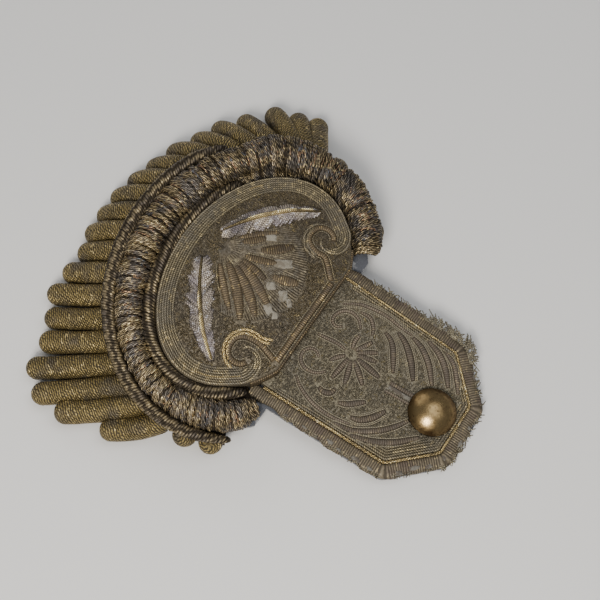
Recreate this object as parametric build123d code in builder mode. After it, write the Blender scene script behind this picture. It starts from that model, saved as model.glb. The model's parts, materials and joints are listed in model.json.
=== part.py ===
from build123d import *

import os
from math import asin, ceil, cos, radians, sin, sqrt, tan

# Officer's epaulette of wire embroidery, lying face up.
# The body plane is the underside of its backing. In that plane +X is the wearer's one side,
# +Y points from the strap to the fringe, and the seam of strap and head is the line y = 0.

# How it lies, on the fringe and on the strap's tip
lie_pitch = 6.5
lie_roll = 2.5

# Clearance between pieces that are sewn or glued to each other
seam_gap = 0.25

# Backing
backing_thick = 1.6
backing_under_edge = 0.5

# Strap, measured to its gold line
strap_neck_half = 27.0
strap_shoulder_half = 25.6
strap_tip_half = 10.7
strap_straight = 51.2
strap_length = 66.3
strap_thick = 2.8
strap_cord_thick = 1.3
binding_width = 6.0
binding_thick = 2.2
binding_edge_round = 0.9
binding_top = -1.0

# Button and the slit of the strap that it is pushed through
button_y = -55.8
button_radius = 9.2
button_height = 5.4
button_rim = 0.9
shank_radius = 1.6
shank_play = 0.3
slit_width = 1.5
slit_length = 14.0

# Relief of the strap
strap_relief = 0.7
palmette_y = -19.0
petal_length = 10.0
petal_width = 2.4
palmette_heart = 2.0
scroll_reach_x = 7.6
scroll_y = -9.0
scroll_radius = 3.6
scroll_line = 1.5
plume_stem_x = 21.0
plume_stem_top = -17.0
plume_stem_foot = -55.0
plume_length = 12.0
plume_drop = 9.0
plume_width = 2.4
plume_count = 5

# Head, an oval dome cut off at the seam
head_shift = 5.1
head_centre_y = 26.9
head_half_width = 46.4
head_half_length = 31.8
dome_top = 15.0
dome_top_y = 40.0
dome_radius = 190.0
head_edge_round = 1.2

# Relief of the head, in heights above the dome
low_relief = 0.8
leaf_relief = 1.5
vein_relief = 0.9
rim_inset = 0.9
rim_width = 5.4
bar_width = 3.4
bar_y = 2.3
bar_left_x = -17.2
bar_right_x = 17.0
volute_reach_x = 27.0
volute_y = 12.8
volute_radius = 4.9
volute_cord_radius = 7.4
volute_cord_thick = 0.9

# Silver leaves, drawn as reaches from the head's middle line
leaf_tip_x = 7.0
leaf_tip_y = 46.6
leaf_bend_x = 22.0
leaf_bend_y = 36.9
leaf_foot_x = 36.6
leaf_foot_y = 21.2
leaf_lobe_length = 5.6
leaf_lobe_width = 2.6
leaf_core_width = 3.4
vein_width = 1.0

# Fan of lobes that hangs from between the leaves
fan_y = 44.5
fan_length = 31.0
fan_width = 4.6
fan_stem = 1.4

# Crescent: its outer rope follows an oval, its inner rope follows the head
oval_x = 2.7
oval_y = 28.8
oval_half_width = 61.5
oval_half_length = 50.6
oval_turn = 13.5
crescent_foot_y = -4.0
crescent_foot_round = 7.0
inner_rope_radius = 2.4
inner_rope_z = 8.4
inner_rope_start = 219
inner_rope_end = 52
inner_rope_play = 0.35
outer_rope_radius = 3.0
outer_rope_z = 5.9
outer_rope_start = 198
outer_rope_end = 34
roll_height = 13.0
roll_bulge = 0.8
roll_cover = 2.6
roll_cover_lift = 0.7
board_inset = 5.0

# Fringe
bullion_radius = 4.1
bullion_length = 40.0
root_drop = 2.0
heading_inner = 4.6
heading_outer = 0.5
heading_low = 2.5
heading_high = 1.5
heading_foot_y = -1.0

# Sections of the crescent from its lower left end over the crown to its lower right end:
# the angle round the head, and as shares of their full sizes the inner rope's ledge, the crest,
# and how far the roll covers the outer rope's place, where less than 0 stops short of it
CREST = [
    # angle, ledge, crest, cover
    (221, 1.00, 0.66, -0.70),
    (213, 1.00, 0.86, -0.10),
    (206, 1.00, 0.94, 0.00),
    (190, 1.00, 1.00, 0.00),
    (168, 1.00, 1.00, 0.00),
    (144, 1.00, 1.00, 0.00),
    (118, 1.00, 1.00, 0.00),
    (92, 1.00, 1.00, 0.00),
    (79, 1.00, 1.00, 0.00),
    (66, 1.00, 1.00, 0.00),
    (46, 1.00, 0.99, 0.00),
    (34, 0.80, 0.97, 0.75),
    (22, 0.50, 0.95, 1.00),
    (5, 0.12, 0.91, 1.00),
    (-14, 0.10, 0.87, 1.00),
    (-31, 0.10, 0.82, 0.90),
    (-46, 0.10, 0.66, 0.60),
]

# Bullions in the same order. turn is the root's angle round the outer oval, lean the direction
# in degrees from +Y towards +X, reach and bow the way to the tip and the sideways bend as shares
# of bullion_length, and knee and drape where the bend is, as a share of the reach, and how much
# of the root's height it keeps.
BULLIONS = [
    # turn, lean, reach, knee, drape, bow
    (190.0, -105, -0.02, 0.50, 0.20, 0.00),
    (178.5, -88, -0.02, 0.50, 0.20, 0.00),
    (167.0, -40, 0.47, 0.50, 0.10, -0.04),
    (156.0, -37, 0.72, 0.50, 0.08, -0.03),
    (146.5, -36, 0.82, 0.50, 0.08, 0.00),
    (137.0, -32, 0.79, 0.50, 0.08, 0.00),
    (127.8, -27, 0.63, 0.52, 0.12, 0.00),
    (118.8, -24, 0.57, 0.54, 0.20, 0.00),
    (110.0, -21, 0.57, 0.56, 0.30, 0.00),
    (101.4, -18, 0.47, 0.58, 0.40, 0.00),
    (92.8, -16, 0.39, 0.60, 0.55, 0.00),
    (84.4, -16, 0.42, 0.62, 0.65, 0.00),
    (76.0, -15, 0.42, 0.62, 0.70, 0.00),
    (67.4, -13, 0.43, 0.62, 0.74, 0.00),
    (58.6, -11, 0.43, 0.62, 0.76, 0.00),
    (49.4, -9, 0.44, 0.62, 0.78, 0.00),
    (40.0, -2, 0.47, 0.62, 0.78, 0.00),
    (30.4, 6, 0.48, 0.62, 0.78, 0.00),
    (21.0, 14, 0.55, 0.62, 0.76, 0.00),
    (11.6, 23, 0.58, 0.62, 0.74, 0.00),
    (2.0, 36, 0.66, 0.62, 0.70, 0.02),
    (-2.8, 48, 0.59, 0.61, 0.66, 0.01),
    (-7.6, 58, 0.56, 0.60, 0.60, 0.00),
    (-17.4, 66, 0.20, 0.55, 0.55, 0.00),
    (-27.4, 78, 0.14, 0.55, 0.50, 0.00),
    (-37.4, 96, 0.05, 0.55, 0.50, 0.00),
    (-47.6, 118, -0.02, 0.55, 0.50, 0.00),
]

# Serrated lobes of a silver leaf: place along the vein, and length as a share of the full lobe
LEAF_LOBES = [
    # place, length
    (0.10, 0.55),
    (0.24, 0.85),
    (0.38, 1.00),
    (0.52, 1.00),
    (0.66, 0.90),
    (0.80, 0.70),
    (0.92, 0.45),
]

# Lobes of the head's fan: direction in degrees from -Y, reach and width as shares
FAN_LOBES = [
    # lean, reach, width
    (-39, 0.72, 0.85),
    (-26, 0.82, 0.95),
    (-13, 0.92, 1.00),
    (0, 1.00, 1.00),
    (13, 0.92, 1.00),
    (26, 0.82, 0.95),
    (39, 0.72, 0.85),
]

# Gold lines over the volutes: the part of a circle round each volute that they follow, and the
# straight end of the line as a share of the circle's radius
VOLUTE_CORDS = {
    # side: start, end, tail
    "left": (155, 0, 0.55),
    "right": (20, 98, 0.10),
}

# Petals of the strap's palmette: direction in degrees from -Y, length as a share
PETALS = [
    # lean, length
    (-100, 0.62),
    (-72, 0.74),
    (-46, 0.86),
    (-22, 0.95),
    (0, 1.00),
    (22, 0.95),
    (46, 0.86),
    (72, 0.74),
    (100, 0.62),
]

# Levels above the body plane
strap_base = backing_thick + seam_gap
strap_top = strap_base + strap_thick
strap_cord_z = strap_top - strap_cord_thick / 4
cord_room = strap_cord_thick / 2 + seam_gap
far = 4 * (strap_length + oval_half_width)


def strap_face(grow):
    """The strap's plan inside its gold line, grown by a width all round."""
    with BuildSketch() as face:
        with BuildLine():
            Polyline(
                (strap_neck_half, head_centre_y / 2),
                (strap_neck_half, 0),
                (strap_shoulder_half, -strap_straight),
                (strap_tip_half, -strap_length),
                (-strap_tip_half, -strap_length),
                (-strap_shoulder_half, -strap_straight),
                (-strap_neck_half, 0),
                (-strap_neck_half, head_centre_y / 2),
                close=True,
            )
        make_face()
        offset(amount=grow, kind=Kind.ARC)
    return face.sketch


def head_face(grow):
    """The head's oval, cut off at the seam, grown by a width all round."""
    with BuildSketch() as face:
        with Locations((head_shift, head_centre_y)):
            Ellipse(head_half_width + grow, head_half_length + grow)
        with Locations((0, -grow)):
            Rectangle(far, far, align=(Align.CENTER, Align.MAX), mode=Mode.SUBTRACT)
    return face.sketch


def oval_face(grow, foot_y):
    """The crescent's outer oval, grown by a width, above a level line."""
    with BuildSketch() as face:
        with Locations((oval_x, oval_y)):
            Ellipse(oval_half_width + grow, oval_half_length + grow, rotation=oval_turn)
        with Locations((0, foot_y)):
            Rectangle(far, far, align=(Align.CENTER, Align.MAX), mode=Mode.SUBTRACT)
    return face.sketch


def oval_point(turn, grow=0.0):
    """A point of the crescent's outer oval at an angle round it."""
    x = (oval_half_width + grow) * cos(radians(turn))
    y = (oval_half_length + grow) * sin(radians(turn))
    point = Vector(x, y).rotate(Axis.Z, oval_turn)
    return point + Vector(oval_x, oval_y)


def rim_point(angle, grow=0.0):
    """A point of the head's rim, or of the oval that runs a width outside it."""
    x = head_shift + (head_half_width + grow) * cos(radians(angle))
    y = head_centre_y + (head_half_length + grow) * sin(radians(angle))
    return Vector(x, y)


def rim_normal(angle):
    """The direction straight out from the head's rim."""
    slope = Vector(cos(radians(angle)) / head_half_width, sin(radians(angle)) / head_half_length)
    return slope.normalized()


def crescent_width(angle):
    """How far the outer rope's middle lies from the head's rim, straight out."""
    start = (rim_point(angle) - Vector(oval_x, oval_y)).rotate(Axis.Z, -oval_turn)
    way = rim_normal(angle).rotate(Axis.Z, -oval_turn)
    a = (way.X / oval_half_width) ** 2 + (way.Y / oval_half_length) ** 2
    b = 2 * (start.X * way.X / oval_half_width**2 + start.Y * way.Y / oval_half_length**2)
    c = (start.X / oval_half_width) ** 2 + (start.Y / oval_half_length) ** 2 - 1
    return (-b + sqrt(b * b - 4 * a * c)) / (2 * a)


def bend_radii(points):
    """The largest arcs that fit the corners of a route: 0.45 of the shorter run beside each."""
    radii = []
    for before, corner, after in zip(points, points[1:], points[2:]):
        turn = (corner - before).get_angle(after - corner)
        run = min((corner - before).length, (after - corner).length)
        radii.append(0.45 * run / tan(radians(turn) / 2))
    return radii


# The body plane, tilted as the epaulette lies, with the strap's tip on the ground
slope = Plane.XY.rotated((lie_pitch, -lie_roll, 0))
strap_edge = strap_face(binding_width).edges()
strap_edge_points = [edge.position_at(share / 4) for edge in strap_edge for share in range(5)]
rest_height = -min(slope.from_local_coords(point).Z for point in strap_edge_points)
BODY = Plane(origin=(0, 0, rest_height), x_dir=slope.x_dir, z_dir=slope.z_dir)
BODY_UP = Axis(BODY.origin, BODY.z_dir)


def lie(point, height):
    """A point of the body plane, raised by a height, where it lies over the ground."""
    return BODY.from_local_coords(Vector(point.X, point.Y, height))


def upright(point, way):
    """A plane across the body plane: its x is the way given and its y points up."""
    up = BODY.z_dir
    x_dir = lie(point + way, 0) - lie(point, 0)
    return Plane(origin=lie(point, 0), x_dir=x_dir, z_dir=x_dir.cross(up))


def dome_layer(low, high):
    """The space between two heights above the head's dome."""
    with BuildPart(BODY) as layer:
        with Locations((0, dome_top_y, dome_top - dome_radius)):
            Sphere(dome_radius + high, rotation=(90, 0, 0))
            Sphere(dome_radius + low, rotation=(90, 0, 0), mode=Mode.SUBTRACT)
    return layer.part


# Backing
backing_head = oval_face(-board_inset, crescent_foot_y)
backing_strap = strap_face(binding_width - backing_under_edge)
with BuildPart() as backing:
    with BuildSketch(BODY):
        add(backing_head)
        fillet(backing_head.vertices(), crescent_foot_round)
        add(backing_strap)
    extrude(amount=backing_thick)

# Strap, with the slit and the shank's hole
head_room = head_face(seam_gap)
strap_plan = strap_face(-cord_room)
with BuildPart() as strap:
    with BuildSketch(BODY.offset(strap_base)):
        add(strap_plan)
        add(head_room, mode=Mode.SUBTRACT)
        with Locations((0, button_y)):
            Circle(shank_radius + shank_play, mode=Mode.SUBTRACT)
        with Locations((0, button_y + slit_length / 2)):
            SlotCenterToCenter(slit_length, slit_width, rotation=90, mode=Mode.SUBTRACT)
    extrude(amount=strap_thick)

# Ribbed binding round the strap
binding_plan = strap_face(binding_width)
binding_hollow = strap_face(cord_room)
with BuildPart() as strap_edge_binding:
    with BuildSketch(BODY.offset(strap_base)):
        add(binding_plan)
        add(binding_hollow, mode=Mode.SUBTRACT)
        add(head_room, mode=Mode.SUBTRACT)
        with Locations((0, binding_top)):
            Rectangle(far, far, align=(Align.CENTER, Align.MIN), mode=Mode.SUBTRACT)
    extrude(amount=binding_thick)
    fillet(strap_edge_binding.faces().sort_by(BODY_UP)[-1].edges(), binding_edge_round)

# Gold cord in the groove between strap and binding
cord_route = [
    lie(Vector(x, y), strap_cord_z)
    for x, y in (
        (strap_neck_half, binding_top),
        (strap_shoulder_half, -strap_straight),
        (strap_tip_half, -strap_length),
        (-strap_tip_half, -strap_length),
        (-strap_shoulder_half, -strap_straight),
        (-strap_neck_half, binding_top),
    )
]
with BuildPart() as strap_gold_cord:
    with BuildLine():
        FilletPolyline(*cord_route, radius=3 * strap_cord_thick)
    with BuildSketch(Plane(origin=cord_route[0], z_dir=cord_route[1] - cord_route[0])):
        Circle(strap_cord_thick / 2)
    sweep()

# Head
head_plan = head_face(0)
head_layer = dome_layer(-dome_top, 0)
with BuildPart() as head_plate:
    with BuildSketch(BODY.offset(strap_base)):
        add(head_plan)
    extrude(amount=2 * dome_top)
    add(head_layer, mode=Mode.INTERSECT)
    fillet(head_plate.faces().sort_by(BODY_UP)[-1].edges(), head_edge_round)


def relief(plan, low, high):
    """A raised pattern on the head: its plan carried up to the layer between two heights."""
    layer = dome_layer(low, high)
    with BuildPart() as raised:
        with BuildSketch(BODY.offset(strap_top)):
            add(plan)
        extrude(amount=2 * dome_top)
        add(layer, mode=Mode.INTERSECT)
    return raised


def volute_centre(side):
    """The middle of a volute, left (-1) or right (1)."""
    return Vector(head_shift + side * volute_reach_x, volute_y)


def polar(centre, radius, angle):
    """A point at a distance and an angle from a centre."""
    return centre + Vector(radius * cos(radians(angle)), radius * sin(radians(angle)))


# Bar along the seam, with its two ends rolled into volutes
def base_scroll_face(grow):
    """The plan of the bar and its volutes, with its line widened by a width on both sides."""
    left, right = volute_centre(-1), volute_centre(1)
    inner = 0.72 * volute_radius
    with BuildSketch() as face:
        with BuildLine():
            eye = ThreePointArc(
                polar(left, inner, -60), polar(left, inner, -140), polar(left, volute_radius, 170)
            )
            over = ThreePointArc(
                eye @ 1, polar(left, volute_radius, 90), polar(left, volute_radius, 0)
            )
            corner = FilletPolyline(
                over @ 1,
                Vector(bar_left_x, bar_y),
                Vector(bar_right_x, bar_y),
                Vector(bar_right_x, volute_y - volute_radius),
                radius=bar_width / 2 + seam_gap,
            )
            rise = TangentArc(corner @ 1, polar(right, volute_radius, 110), tangent=corner % 1)
            ThreePointArc(
                rise @ 1, polar(right, volute_radius, 20), polar(right, 0.9 * volute_radius, -60)
            )
        trace(line_width=bar_width + 2 * grow)
    return face.sketch


base_scroll = relief(base_scroll_face(0), seam_gap, low_relief + seam_gap)

# Rows of cord along the rim, which end at the volutes
rim_outer = head_face(-rim_inset)
with BuildSketch() as rim_inner:
    with Locations((head_shift, head_centre_y)):
        Ellipse(
            head_half_width - rim_inset - rim_width, head_half_length - rim_inset - rim_width
        )
rim_clear = base_scroll_face(seam_gap)
with BuildSketch() as rim_plan:
    add(rim_outer)
    add(rim_inner.sketch, mode=Mode.SUBTRACT)
    add(rim_clear, mode=Mode.SUBTRACT)
    with Locations(((bar_left_x + bar_right_x) / 2, 0)):
        Rectangle(
            bar_right_x - bar_left_x + 2 * bar_width, head_centre_y, mode=Mode.SUBTRACT
        )
rim_border = relief(rim_plan.sketch, seam_gap, low_relief + seam_gap)


def volute_cord_face(centre, start, end, tail):
    """The plan of the gold line that loops round a volute."""
    loop_points = [
        polar(centre, volute_cord_radius, angle) for angle in (start, (start + end) / 2, end)
    ]
    with BuildSketch() as face:
        with BuildLine():
            loop = ThreePointArc(*loop_points)
            Line(loop @ 1, (loop @ 1) + (loop % 1) * (tail * volute_cord_radius))
        trace(line_width=volute_cord_thick)
    return face.sketch


def leaf_plans(side):
    """The plans of a silver leaf and of its vein, left (-1) or right (1)."""
    with BuildLine() as vein:
        ThreePointArc(
            (head_shift + side * leaf_tip_x, leaf_tip_y),
            (head_shift + side * leaf_bend_x, leaf_bend_y),
            (head_shift + side * leaf_foot_x, leaf_foot_y),
        )
    curve = vein.line
    with BuildSketch() as blade:
        trace(curve, line_width=leaf_core_width)
        for place, length in LEAF_LOBES:
            along = curve % place
            heading = Vector(1, 0).get_signed_angle(along)
            for lean in (-1, 1):
                angle = heading + lean * 140
                middle = (curve @ place) + Vector(1, 0).rotate(Axis.Z, angle) * (
                    length * leaf_lobe_length / 2
                )
                with Locations(Location((middle.X, middle.Y, 0), (0, 0, angle))):
                    Ellipse(length * leaf_lobe_length / 2, leaf_lobe_width / 2)
    with BuildSketch() as rib:
        trace(curve, line_width=vein_width)
    return blade.sketch, rib.sketch


reliefs = {}
for side, name in ((-1, "left"), (1, "right")):
    cord = volute_cord_face(volute_centre(side), *VOLUTE_CORDS[name])
    reliefs[f"volute_cord_{name}"] = relief(cord, seam_gap, low_relief + seam_gap)
    blade, rib = leaf_plans(side)
    leaf_top = seam_gap + leaf_relief
    reliefs[f"silver_leaf_{name}"] = relief(blade, seam_gap, leaf_top)
    reliefs[f"leaf_vein_{name}"] = relief(rib, leaf_top + seam_gap, leaf_top + seam_gap + vein_relief)

# Fan of lobes between the leaves
with BuildSketch() as fan_plan:
    with Locations((head_shift, fan_y)):
        Circle(fan_stem)
    for lean, reach, width in FAN_LOBES:
        way = Vector(0, -1).rotate(Axis.Z, lean)
        root = Vector(head_shift, fan_y)
        tip = root + way * (reach * fan_length)
        with BuildLine():
            stem = Line(root, tip - way * (width * fan_width / 2))
        trace(stem, line_width=fan_stem)
        middle = tip - way * (0.28 * reach * fan_length)
        with Locations(Location((middle.X, middle.Y, 0), (0, 0, 90 + lean))):
            Ellipse(0.28 * reach * fan_length, width * fan_width / 2)
head_palmette = relief(fan_plan.sketch, seam_gap, low_relief + seam_gap)

# Tone-on-tone relief of the strap
with BuildSketch() as palmette_plan:
    heart = Vector(0, palmette_y)
    with Locations(heart):
        Circle(palmette_heart)
    for lean, length in PETALS:
        way = Vector(0, -1).rotate(Axis.Z, lean)
        middle = heart + way * (length * petal_length / 2 + palmette_heart / 2)
        with Locations(Location((middle.X, middle.Y, 0), (0, 0, 90 + lean))):
            Ellipse(length * petal_length / 2, petal_width / 2)
    for side in (-1, 1):
        eye = Vector(side * scroll_reach_x, scroll_y)
        with BuildLine():
            curl = ThreePointArc(
                polar(eye, scroll_radius / 2, 90 + side * 170),
                polar(eye, 0.8 * scroll_radius, 90 + side * 60),
                polar(eye, scroll_radius, 90 - side * 60),
            )
            ThreePointArc(curl @ 1, eye + Vector(side * scroll_radius, -scroll_radius), heart)
        trace(line_width=scroll_line)
with BuildPart() as strap_palmette:
    with BuildSketch(BODY.offset(strap_top + seam_gap)):
        add(palmette_plan.sketch)
    extrude(amount=strap_relief)


def plumes_face(side):
    """The curved plumes that sweep from a side of the strap towards its middle, and their stem."""
    pitch = (plume_stem_top - plume_stem_foot) / plume_count
    with BuildSketch() as face:
        with BuildLine():
            Line(
                (side * plume_stem_x, plume_stem_top),
                (side * plume_stem_x, plume_stem_foot + pitch / 2),
            )
        trace(line_width=plume_width)
        for number in range(plume_count):
            start = Vector(side * plume_stem_x, plume_stem_top - (number + 0.25) * pitch)
            end = start - Vector(side * plume_length, plume_drop)
            middle = start - Vector(side * plume_length * 0.42, plume_drop * 0.62)
            with BuildLine():
                ThreePointArc(start, middle, end)
            trace(line_width=plume_width)
    return face.sketch


plumes = {}
for side, name in ((-1, "left"), (1, "right")):
    plan = plumes_face(side)
    with BuildPart() as plume:
        with BuildSketch(BODY.offset(strap_top + seam_gap)):
            add(plan)
        extrude(amount=strap_relief)
    plumes[f"strap_plumes_{name}"] = plume

# Button: a plain dome with a turned-in rim, on a shank that goes through the strap
button_base = strap_top + strap_relief + 2 * seam_gap
cap_height = button_height - button_rim
cap_radius = (button_radius**2 + cap_height**2) / (2 * cap_height)
cap_middle = button_base + button_height - cap_radius
half_way = asin(button_radius / cap_radius) / 2
with BuildPart() as button:
    with BuildSketch(upright(Vector(0, button_y), Vector(1, 0))):
        with BuildLine():
            Polyline(
                (0, strap_base),
                (shank_radius, strap_base),
                (shank_radius, button_base),
                (button_radius - button_rim, button_base),
                (button_radius, button_base + button_rim),
            )
            ThreePointArc(
                (button_radius, button_base + button_rim),
                (cap_radius * sin(half_way), cap_middle + cap_radius * cos(half_way)),
                (0, button_base + button_height),
            )
            Line((0, button_base + button_height), (0, strap_base))
        make_face()
    revolve(axis=Axis(lie(Vector(0, button_y), 0), BODY.z_dir))


def rope(points, radius):
    """A round rope along a route whose bends are as large as they can be."""
    with BuildPart() as tube:
        with BuildLine():
            FilletPolyline(*points, radius=bend_radii(points))
        with BuildSketch(Plane(origin=points[0], z_dir=points[1] - points[0])):
            Circle(radius)
        sweep()
    return tube


def steps(first, last, step):
    """Even steps from one angle to another, no longer than a given step."""
    count = ceil(abs(last - first) / step)
    return [first + (last - first) * number / count for number in range(count + 1)]


# Crescent
rope_step = 9
inner_rope_out = inner_rope_radius + inner_rope_play
inner_rope_route = [
    lie(rim_point(angle, inner_rope_out), inner_rope_z)
    for angle in steps(inner_rope_start, inner_rope_end, rope_step)
]
crescent_inner_rope = rope(inner_rope_route, inner_rope_radius)
outer_rope_route = [
    lie(oval_point(turn), outer_rope_z)
    for turn in steps(outer_rope_start, outer_rope_end, rope_step)
]
crescent_outer_rope = rope(outer_rope_route, outer_rope_radius)

with BuildPart() as crescent_roll:
    ledge_z = inner_rope_z - inner_rope_radius - seam_gap
    for angle, ledge, crest, cover in CREST:
        near = seam_gap
        step_out = near + ledge * (2 * inner_rope_radius + 2 * seam_gap)
        rope_room = outer_rope_radius + 2 * seam_gap
        outer = crescent_width(angle) - (1 - cover) * rope_room + cover * roll_cover
        foot = strap_base + max(cover, 0) * roll_cover_lift
        half = (outer - step_out) / 2
        top = crest * roll_height
        shoulder = top - roll_bulge * half
        with BuildSketch(upright(rim_point(angle), rim_normal(angle))):
            with BuildLine():
                Polyline(
                    (outer, shoulder),
                    (outer, foot),
                    (near, strap_base),
                    (near, ledge_z),
                    (step_out, ledge_z),
                    (step_out, shoulder),
                )
                ThreePointArc((step_out, shoulder), (step_out + half, top), (outer, shoulder))
            make_face()
    loft()


def bullion(turn, lean, reach, knee, drape, bow):
    """One wire-wound bullion, from its root under the outer rope to its round tip on the ground."""
    root = lie(oval_point(turn), -root_drop)
    out = Vector(sin(radians(lean)), cos(radians(lean)))
    side = Vector(out.Y, -out.X)
    tip = root + out * (reach * bullion_length)
    tip.Z = bullion_radius
    bend = root + (tip - root) * knee + side * (bow * bullion_length)
    bend.Z = bullion_radius + drape * (root.Z - bullion_radius)
    lock = rope([root, bend, tip], bullion_radius)
    with BuildPart() as rounded:
        add(lock.part)
        with Locations(root, tip):
            Sphere(bullion_radius)
    return rounded.part


# Fringe
locks = [bullion(*row) for row in BULLIONS]
heading_outside = oval_face(heading_outer, heading_foot_y)
heading_inside = oval_face(-heading_inner, crescent_foot_y)
with BuildPart() as bullion_fringe:
    with BuildSketch(BODY.offset(-heading_low)):
        add(heading_outside)
        add(heading_inside, mode=Mode.SUBTRACT)
    extrude(amount=heading_low + heading_high)
    add(locks)

pieces = {
    "backing": backing,
    "strap": strap,
    "strap_edge_binding": strap_edge_binding,
    "strap_gold_cord": strap_gold_cord,
    "head_plate": head_plate,
    "rim_border": rim_border,
    "base_scroll": base_scroll,
    "head_palmette": head_palmette,
    **reliefs,
    "strap_palmette": strap_palmette,
    **plumes,
    "button": button,
    "crescent_inner_rope": crescent_inner_rope,
    "crescent_roll": crescent_roll,
    "crescent_outer_rope": crescent_outer_rope,
    "bullion_fringe": bullion_fringe,
}

# The origin goes on the ground under the middle of the whole
whole = Compound([piece.part for piece in pieces.values()]).bounding_box()
to_origin = Vector(-whole.center().X, -whole.center().Y, -whole.min.Z)

os.makedirs("parts", exist_ok=True)
for name, piece in pieces.items():
    piece.part = piece.part.moved(Location(to_origin))
    piece.part.label = name
    export_step(piece.part, f"parts/{name}.step")

print("size", whole.size)
print("body plane's origin", BODY.origin + to_origin, "its normal", BODY.z_dir)
print("underside of the strap", lie(Vector(0, -strap_straight / 2), 0) + to_origin)
print("total volume", sum(piece.part.volume for piece in pieces.values()))
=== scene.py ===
"""Dresses an officer's epaulette of wire embroidery that lies face up on a pale floor."""

import json
import logging
import math
from dataclasses import dataclass, field
from enum import Enum
from functools import cached_property
from typing import Any, Callable, NamedTuple

import bpy
import numpy as np
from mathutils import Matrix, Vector


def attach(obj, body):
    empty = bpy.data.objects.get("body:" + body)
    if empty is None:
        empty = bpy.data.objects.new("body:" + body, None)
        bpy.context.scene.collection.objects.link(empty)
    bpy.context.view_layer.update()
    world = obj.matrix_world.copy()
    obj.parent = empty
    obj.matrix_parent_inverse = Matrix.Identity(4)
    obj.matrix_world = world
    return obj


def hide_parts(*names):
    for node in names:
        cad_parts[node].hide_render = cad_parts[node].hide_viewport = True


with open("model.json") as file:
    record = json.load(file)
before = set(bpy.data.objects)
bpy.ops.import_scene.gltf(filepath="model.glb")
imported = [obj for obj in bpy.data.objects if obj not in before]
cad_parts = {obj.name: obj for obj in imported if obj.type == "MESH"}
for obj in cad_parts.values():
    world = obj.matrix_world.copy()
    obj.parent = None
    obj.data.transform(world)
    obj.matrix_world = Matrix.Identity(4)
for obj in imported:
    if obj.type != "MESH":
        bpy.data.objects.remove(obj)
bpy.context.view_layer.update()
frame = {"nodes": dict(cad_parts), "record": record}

MM = 0.001
# The strap's middle in the plane's own y, where its mount is.
STRAP_MIDDLE = -25.6 * MM
TURN = 2 * math.pi
THREAD = "thread"
TINT = "tint"
NOISE_VALUES = 4096
NOISE_START = 1024
# How a tint lightens a thread: its shade is the tint times the gain, and the base.
TINT_GAIN = 0.7
TINT_BASE = 0.65
# A padded stroke's points round it, and how full its dome is: 1 for an ellipse, less for a fuller one.
PAD_SIDES = 10
PAD_SQUARE = 0.75
# The colour sockets of a Mix node, which share their names with its number sockets.
MIX_FIRST, MIX_SECOND, MIX_RESULT = 6, 7, 2

Array = np.ndarray
Lay = Callable[[Array, float | Array], Array]
Colour = tuple[float, float, float]
Material = bpy.types.Material
Object = bpy.types.Object
LOG = logging.getLogger("epaulette")


class Side(Enum):
    """The wearer's two sides of the epaulette, with the sign of their x."""

    LEFT = -1
    RIGHT = 1

    @property
    def word(self) -> str:
        """The side's name as the pieces spell it."""
        return self.name.lower()


# Geometry of the body


def unit(vectors: Array) -> Array:
    """Vectors of length one in the same directions."""
    return vectors / np.linalg.norm(vectors, axis=-1, keepdims=True)


def degrees_way(angle: float | Array) -> Array:
    """Flat directions at angles in degrees from +X towards +Y."""
    turned = np.radians(angle)
    return np.stack([np.cos(turned), np.sin(turned)], -1)


def smooth(low: float, high: float, value: Array) -> Array:
    """A soft step from 0 at low to 1 at high."""
    share = np.clip((value - low) / (high - low), 0, 1)
    return share * share * (3 - 2 * share)


def thread_ridge(phase: Array) -> Array:
    """The half-round profile of threads that lie side by side, one for each whole phase."""
    across = 2 * (phase - np.floor(phase)) - 1
    return np.sqrt(np.clip(1 - across * across, 0, 1))


def slow_noise(at: Array, size: float, seed: int) -> Array:
    """Smooth noise between -1 and 1 along a line.

    Args:
        at: Places along the line.
        size: The distance between the noise's own values.
        seed: The noise's seed.

    Returns:
        The noise at each place.
    """
    values = np.random.default_rng(seed).uniform(-1, 1, NOISE_VALUES)
    place = at / size + NOISE_START
    cell = np.floor(place).astype(int)
    share = smooth(0, 1, place - cell)
    return values[cell % NOISE_VALUES] * (1 - share) + values[(cell + 1) % NOISE_VALUES] * share


def rounded_ends(along: Array, reach: float) -> Array:
    """How full a rod is along it where its ends are rounded over a reach, from 0 to 1."""
    ends = np.clip(np.minimum(along, along[-1] - along) / reach, 0, 1)
    return np.sqrt(1 - (1 - ends) ** 2)


def evenly(points: Array, step: float) -> Array:
    """A polyline's points moved to even steps along it.

    Args:
        points: The polyline, a row for each point.
        step: The longest step.

    Returns:
        The new points, a row each.
    """
    along = arc_lengths(points)
    count = max(3, math.ceil(along[-1] / step) + 1)
    places = np.linspace(0, along[-1], count)
    return np.column_stack([np.interp(places, along, column) for column in points.T])


def arc_lengths(points: Array) -> Array:
    """The distance of each point from the first, along the polyline."""
    return np.concatenate([[0.0], np.cumsum(np.linalg.norm(np.diff(points, axis=0), axis=1))])


def curve_through(points: Array, step: float) -> Array:
    """An even smooth curve through a few points.

    Args:
        points: The points, a row each.
        step: The longest step between the curve's own points.

    Returns:
        The curve's points, a row each.
    """
    points = np.asarray(points, float)
    held = np.vstack([2 * points[0] - points[1], points, 2 * points[-1] - points[-2]])
    share = np.linspace(0, 1, 24, endpoint=False)[:, None]
    spans = []
    for a, b, c, d in zip(held, held[1:], held[2:], held[3:]):
        bend = (2 * a - 5 * b + 4 * c - d) * share**2 + (3 * b - a - 3 * c + d) * share**3
        spans.append(0.5 * (2 * b + (c - a) * share + bend))
    return evenly(np.vstack([*spans, points[-1:]]), step)


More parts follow.
